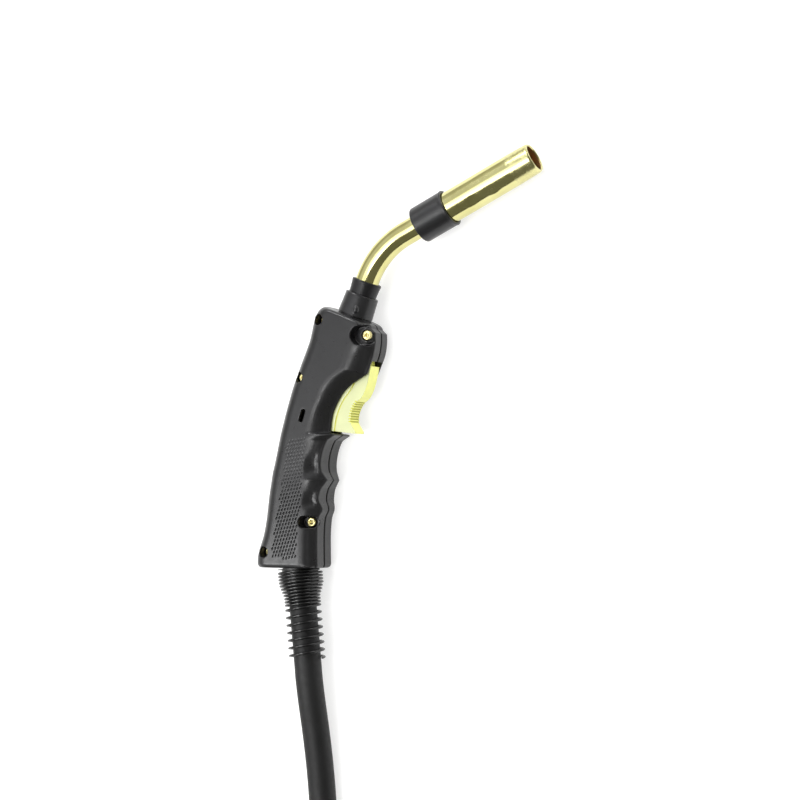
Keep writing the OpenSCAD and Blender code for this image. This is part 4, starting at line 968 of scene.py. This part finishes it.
# Place along the nozzle and angle round it, half length, half width and depth
DENTS = [(58.0, math.radians(309), 7.0, 4.2, 0.6), (75.5, math.radians(315), 5.0, 3.6, 0.6)]


def dented(a, r, d):
    """Two shallow dents in the nozzle's outside, and a faint unevenness all round."""
    if r < BORE_R + 1:
        return r
    for at, angle, long_half, wide_half, deep in DENTS:
        distance = math.hypot((d - at) / long_half, turn_between(a, angle) * r / wide_half)
        r -= deep * float(1 - smoothstep(0.0, 1.0, distance))
    return r + 0.02 * math.sin(3 * a + d / 9)


nozzle = lathe("gas_nozzle_brass", round_profile([
    (BORE_R, NOZZLE_BACK + 0.5, 0), (BORE_R + 0.5, NOZZLE_BACK, 0), (NOZZLE_R - 0.4, NOZZLE_BACK, 0),
    (NOZZLE_R, NOZZLE_BACK + 0.4, 0), (NOZZLE_R, MOUTH_ZONE, 3), (MOUTH_R, MOUTH_AT - 1.2, 0.5),
    (MOUTH_R - 0.7, MOUTH_AT, 0.7), (BORE_R + 0.5, MOUTH_AT, 0.5), (BORE_R, MOUTH_AT - 0.9, 0.3)]),
    ON_NOZZLE, 192, 0.9, dented)
finish_piece(nozzle, "nozzle", "neck_brass", nozzle_brass, "gas_nozzle")
nozzle.data.materials.append(bore_brass)
nozzle.data.materials.append(mouth_brass)
axis_point, axis_dir = ON_NOZZLE.to_translation(), ON_NOZZLE.to_3x3() @ Vector((0, 0, 1))
for face in nozzle.data.polygons:
    q = face.center / MM - axis_point
    along = q.dot(axis_dir)
    if (q - axis_dir * along).length < BORE_R + 0.25 and along < MOUTH_AT - 0.7:
        face.material_index = 1
    elif along > MOUTH_ZONE:
        face.material_index = 2

ring = lathe("nozzle_collar_ring", round_profile([
    (NECK_R + THIN_GAP, COLLAR_BACK + 0.5, 0), (NECK_R + 0.6, COLLAR_BACK, 0.3),
    (NOZZLE_COLLAR_R - 0.5, COLLAR_BACK, 0.7), (NOZZLE_COLLAR_R, COLLAR_BACK + 0.9, 0.6),
    (NOZZLE_COLLAR_R, COLLAR_FRONT - 2.2, 0.6), (NOZZLE_COLLAR_R + 0.33, COLLAR_FRONT - 0.7, 0.7),
    (NOZZLE_COLLAR_R - 0.1, COLLAR_FRONT, 0.6), (NOZZLE_R + 0.7, COLLAR_FRONT, 0.3),
    (NOZZLE_R + THIN_GAP, COLLAR_FRONT - 0.8, 0.3), (NOZZLE_R + THIN_GAP, NOZZLE_BACK - 0.3, 0),
    (NECK_R + THIN_GAP, NOZZLE_BACK - 0.3, 0)]), ON_NOZZLE, 160, 1.0)
finish_piece(ring, "torch", "collar_plastic", collar_black, "nozzle_collar")

# ---- trigger ----

# Finger arc in front, and the outline's other stretches
ARC_X, ARC_Y, ARC_R, ARC_FROM, ARC_TO = 63.5, 48.9, 18.7, 132.0, 187.0
TRIGGER_BACK = [(26.8, 42), (27.4, 48.6), (29.4, 56.4), (33.6, 64.6), (38.2, 70.9), (43.5, 75.4)]
TRIGGER_HOOK = [(46.3, 75.8), (49.6, 84.2), (50.5, 91), (54.6, 96.4), (57.4, 92.6), (57.4, 87.4)]
TRIGGER_FRONT = [(60.9, 86.8), (59.8, 81.3), (57.9, 74), (56.2, 69.5), (53.8, 65.2)]
TRIGGER_HEEL = [(46.6, 44), (48.5, 41), (48.4, 39.5)]
RIM_LINE = [(47.5, 75), (44.4, 70), (38.6, 62.6), (34.8, 55), (32.8, 48), (31.8, 41.4)]
CHANNEL_FOOT = [(20, 43.6), (45.6, 41.6), (43.4, 45)]
CHANNEL_TOP = [(52.2, 66.6), (54.4, 71), (56.2, 77), (20, 77)]
TRIGGER_HALF, RIM_HALF, CHANNEL_HALF, TRIGGER_WALL = 6.6, 7, 5.2, 1.8
HUB_R, HUB_HOLE_R = 4, 1.55
# Grooves across the finger arc: their number and width, bare angles, and where they fade out behind it
RIBS, RIB_GROOVE, BARE_FOOT, BARE_BOTH, GROOVE_FADE = 9, 0.3, 3, 5, (1.4, 2.2)
# Where the trigger's sides begin, and the depth of the grooves and of the line by the rim
SIDE_FROM, FRONT_GROOVE, SIDE_GROOVE, RIM_DEEP, RIM_WIDE = 5.9, 0.7, 0.45, 0.4, 0.4


def finger_arc(r, steps):
    return circle(ARC_X, ARC_Y, r, steps, ARC_FROM, ARC_TO - ARC_FROM, 1)


def smooth_line(points, steps=4):
    return [(p.x, p.y) for p in catmull([(*p, 0) for p in points], steps)]


def slab(name, outline, half):
    return prism(name, outline, MID_Z - half, MID_Z + half)


def trigger_relief(points):
    """Depth of the finger arc's grooves, their share at each point, and the share of the line by the rim."""
    dx, dy = points[:, 0] - ARC_X, points[:, 1] - ARC_Y
    radius = np.hypot(dx, dy)
    share = (np.degrees(np.arctan2(dy, dx)) % 360 - ARC_FROM - BARE_FOOT) / (ARC_TO - ARC_FROM - BARE_BOTH)
    phase = (RIBS * np.clip(share, 0, 1)) % 1 - 0.5
    field = (radius > ARC_R - 1) & (share > 0) & (share < 1)
    groove = np.where(field, np.exp(-(phase / RIB_GROOVE) ** 2), 0)
    groove *= 1 - smoothstep(ARC_R + GROOVE_FADE[0], ARC_R + GROOVE_FADE[1], radius)
    outer = np.abs(points[:, 2] - MID_Z) > SIDE_FROM
    depth = np.where(radius < ARC_R + 0.6, FRONT_GROOVE, np.where(outer, SIDE_GROOVE, 0))
    line = np.array(smooth_line(RIM_LINE, 12))
    apart = np.min(np.hypot(points[:, 0, None] - line[:, 0], points[:, 1, None] - line[:, 1]), axis=1)
    return depth, groove, np.where(outer, np.exp(-(apart / RIM_WIDE) ** 2), 0)


def make_trigger():
    """Lever with a channel behind its finger arc, a hub on the pivot and a rim at its back."""
    back = smooth_line(TRIGGER_BACK)
    front = smooth_line(TRIGGER_FRONT) + finger_arc(ARC_R, 16)
    body = slab("trigger_lever", back + TRIGGER_HOOK + front + TRIGGER_HEEL, TRIGGER_HALF)
    rim = slab("rim", back + smooth_line(RIM_LINE), RIM_HALF)
    hub = slab("hub", circle(*PIVOT, HUB_R), TRIGGER_HALF)
    cut(body, [rim, hub], "UNION")
    inner = CHANNEL_FOOT + finger_arc(ARC_R + TRIGGER_WALL, 12)[::-1] + CHANNEL_TOP
    cut(body, [slab("channel", inner, CHANNEL_HALF), prism("hole", circle(*PIVOT, HUB_HOLE_R), 0, HANDLE_T)])
    moulded(body, 0.25)
    points, normals = vertex_array(body), vertex_values(body, "normal")
    depth, groove, rim = trigger_relief(points)
    points -= normals * (depth * groove)[:, None]
    points[:, 2] -= np.sign(points[:, 2] - MID_Z) * RIM_DEEP * rim
    set_vertices(body, points)
    return body


trigger = finish_piece(make_trigger(), "trigger", "trigger_plastic", trigger_lime, "trigger")
# The faces turned to the front get the painted-light lime
trigger.data.materials.append(trigger_front_painted_light)
# The grooves and the rim line get the painted-shade lime
trigger.data.materials.append(trigger_groove_painted_shade)
centres = np.array([f.center for f in trigger.data.polygons]) / MM
_, groove_share, rim_share = trigger_relief(centres)
for face, groove, rim in zip(trigger.data.polygons, groove_share, rim_share):
    in_painted_shade, painted_light_front = max(groove, rim) > 0.35, abs(face.normal.z) < 0.5
    face.material_index = 2 if in_painted_shade else 1 if painted_light_front else 0

# ---- support spring ----

SPRING_STEPS = 40


def spring_radius(n):
    share = min(max((n - FLARE_TURNS) / TAPER_TURNS, 0), 1)
    return FLARE_R - (FLARE_R - SPRING_R) * share


def spring_point(n):
    """Point of the wire's middle line after n turns from the handle's foot."""
    rise = n * CLOSE_PITCH
    if n >= CLOSE_TURNS:
        rise = CLOSE_TURNS * CLOSE_PITCH + (n - CLOSE_TURNS) * OPEN_PITCH
    x, y, z = foot_line(SPRING_START + SPRING_WIRE / 2 + rise)
    r, a, lean = spring_radius(n), 2 * math.pi * n, math.radians(CABLE_LEAN)
    return (x + r * math.cos(a) * math.cos(lean), y + r * math.cos(a) * math.sin(lean), z + r * math.sin(a))


spring_line = [spring_point(k / SPRING_STEPS) for k in range((CLOSE_TURNS + OPEN_TURNS) * SPRING_STEPS + 1)]
spring = wire("support_spring_wire", spring_line, SPRING_WIRE / 2, 12)
finish_piece(spring, "torch", "spring_steel", spring_black, "support_spring")

# ---- nodes that keep the CAD's own mesh ----

NODE_MATERIALS = [
    (white_insulation, ["neck_insulation", "gas_diffuser"]), (bush_red, ["nozzle_bush", "switch_leads"]),
    (steel, ["wire_liner", "nozzle_catch", "trigger_pin"]),
    (copper, ["inner_conductor", "cable_ferrule", "contact_tip"]),
    (turned_brass, ["neck_block", "cable_nut", "tip_holder", "plug_body", "control_pin_1", "control_pin_2"]),
    (sheath, ["cable_lead_in", "plug_strain_relief"]), (plunger_red, ["switch_plunger"]),
    (black_plastic, ["switch_body", "spring_seat", "plug_housing", "plug_nut", "plug_face"])]
for material, names in NODE_MATERIALS:
    for name in names:
        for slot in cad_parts[name].material_slots:
            slot.material = material

# ---- floor and light ----

def area_light(name, place, target, size, power):
    """Rectangular light at a place in metres, turned towards its target."""
    lamp = bpy.data.lights.new(name, "AREA")
    lamp.shape = "RECTANGLE"
    lamp.size, lamp.size_y = size
    lamp.energy = power
    obj = new_object(name, lamp)
    obj.location = place
    obj.rotation_euler = (Vector(target) - Vector(place)).to_track_quat("-Z", "Y").to_euler()
    return obj


FLOOR_HALF = 3000
pale = MaterialNodes("pale_floor")
pale.feed("Base Color", pale.ramp(pale.noise(3, 2), 0.3, (0.44, 0.44, 0.44), 0.7, (0.46, 0.46, 0.46)))
pale.put("Roughness", 0.9)
pale.put("Emission Color", (1, 1, 1, 1))
pale.put("Emission Strength", 0.68)
corners = [(x * FLOOR_HALF, y * FLOOR_HALF, 0) for x, y in ((-1, -1), (1, -1), (1, 1), (-1, 1))]
floor = mesh_object("floor", corners, [(0, 1, 2, 3)], False)
floor.data.materials.append(pale.mat)

world = bpy.data.worlds.new("studio")
bpy.context.scene.world = world
world.use_nodes = True
sky = Nodes(world.node_tree, "Generated")


def towards(azimuth, elevation):
    a, e = math.radians(azimuth), math.radians(elevation)
    return (math.cos(e) * math.cos(a), math.cos(e) * math.sin(a), math.sin(e))


def lobe(under, color, centre, inner, outer):
    """Lays a soft-edged round area of the studio over the colour under it; angles in degrees."""
    dot = sky.add("ShaderNodeVectorMath")
    dot.operation = "DOT_PRODUCT"
    dot.inputs[1].default_value = towards(*centre)
    sky.link(sky.place, dot.inputs[0])
    edge = [math.cos(math.radians(angle)) for angle in (outer, inner)]
    span = sky.add("ShaderNodeMapRange", From_Min=edge[0], From_Max=edge[1])
    span.interpolation_type = "SMOOTHSTEP"
    sky.link(dot.outputs["Value"], span.inputs["Value"])
    mix = sky.add("ShaderNodeMix")
    mix.data_type = "RGBA"
    sky.link(span.outputs["Result"], mix.inputs["Factor"])
    if isinstance(under, tuple):
        mix.inputs[6].default_value = (*under, 1)
    else:
        sky.link(under, mix.inputs[6])
    mix.inputs[7].default_value = (*color, 1)
    return mix.outputs[2]


# Areas laid over a near-white room in turn: a grey wall, two dim sides and soft lights. Each has its color,
# the azimuth (from +X) and elevation of its middle, and the angles of its soft edge
WALL_WHITE, WALL_GREY, DIM = (0.95, 0.95, 0.93), (0.55, 0.54, 0.48), (0.185, 0.183, 0.15)
LOBES = [
    (WALL_GREY, (150, 2), 22, 42), (DIM, (15, 45), 42, 60), (DIM, (-70, 22), 52, 68),
    ((2.1,) * 3, (95, 52), 6, 24), ((0.8,) * 3, (152, 50), 8, 26), ((20.0,) * 3, (116, 42), 3, 12),
    ((4.0,) * 3, (50, 10), 4, 24), ((2.9,) * 3, (-150, 66), 6, 22), ((12.0,) * 3, (-100, 75), 2, 11)]
room = WALL_WHITE
for area in LOBES:
    room = lobe(room, *area)
sky.link(room, sky.tree.nodes["Background"].inputs["Color"])
sky.tree.nodes["Background"].inputs["Strength"].default_value = 1.0
bounce = area_light("bounce", (0.05, 0.1, 2.2), (0.05, 0.05, 0), (3.0, 3.0), 38)
bounce.visible_glossy = False
low_box = area_light("low_softbox", (-0.27, -0.14, 0.47), (0.0, -0.02, 0.04), (0.16, 0.16), 0.95)
low_box.visible_diffuse = False
bpy.context.scene.view_settings.view_transform = "Standard"
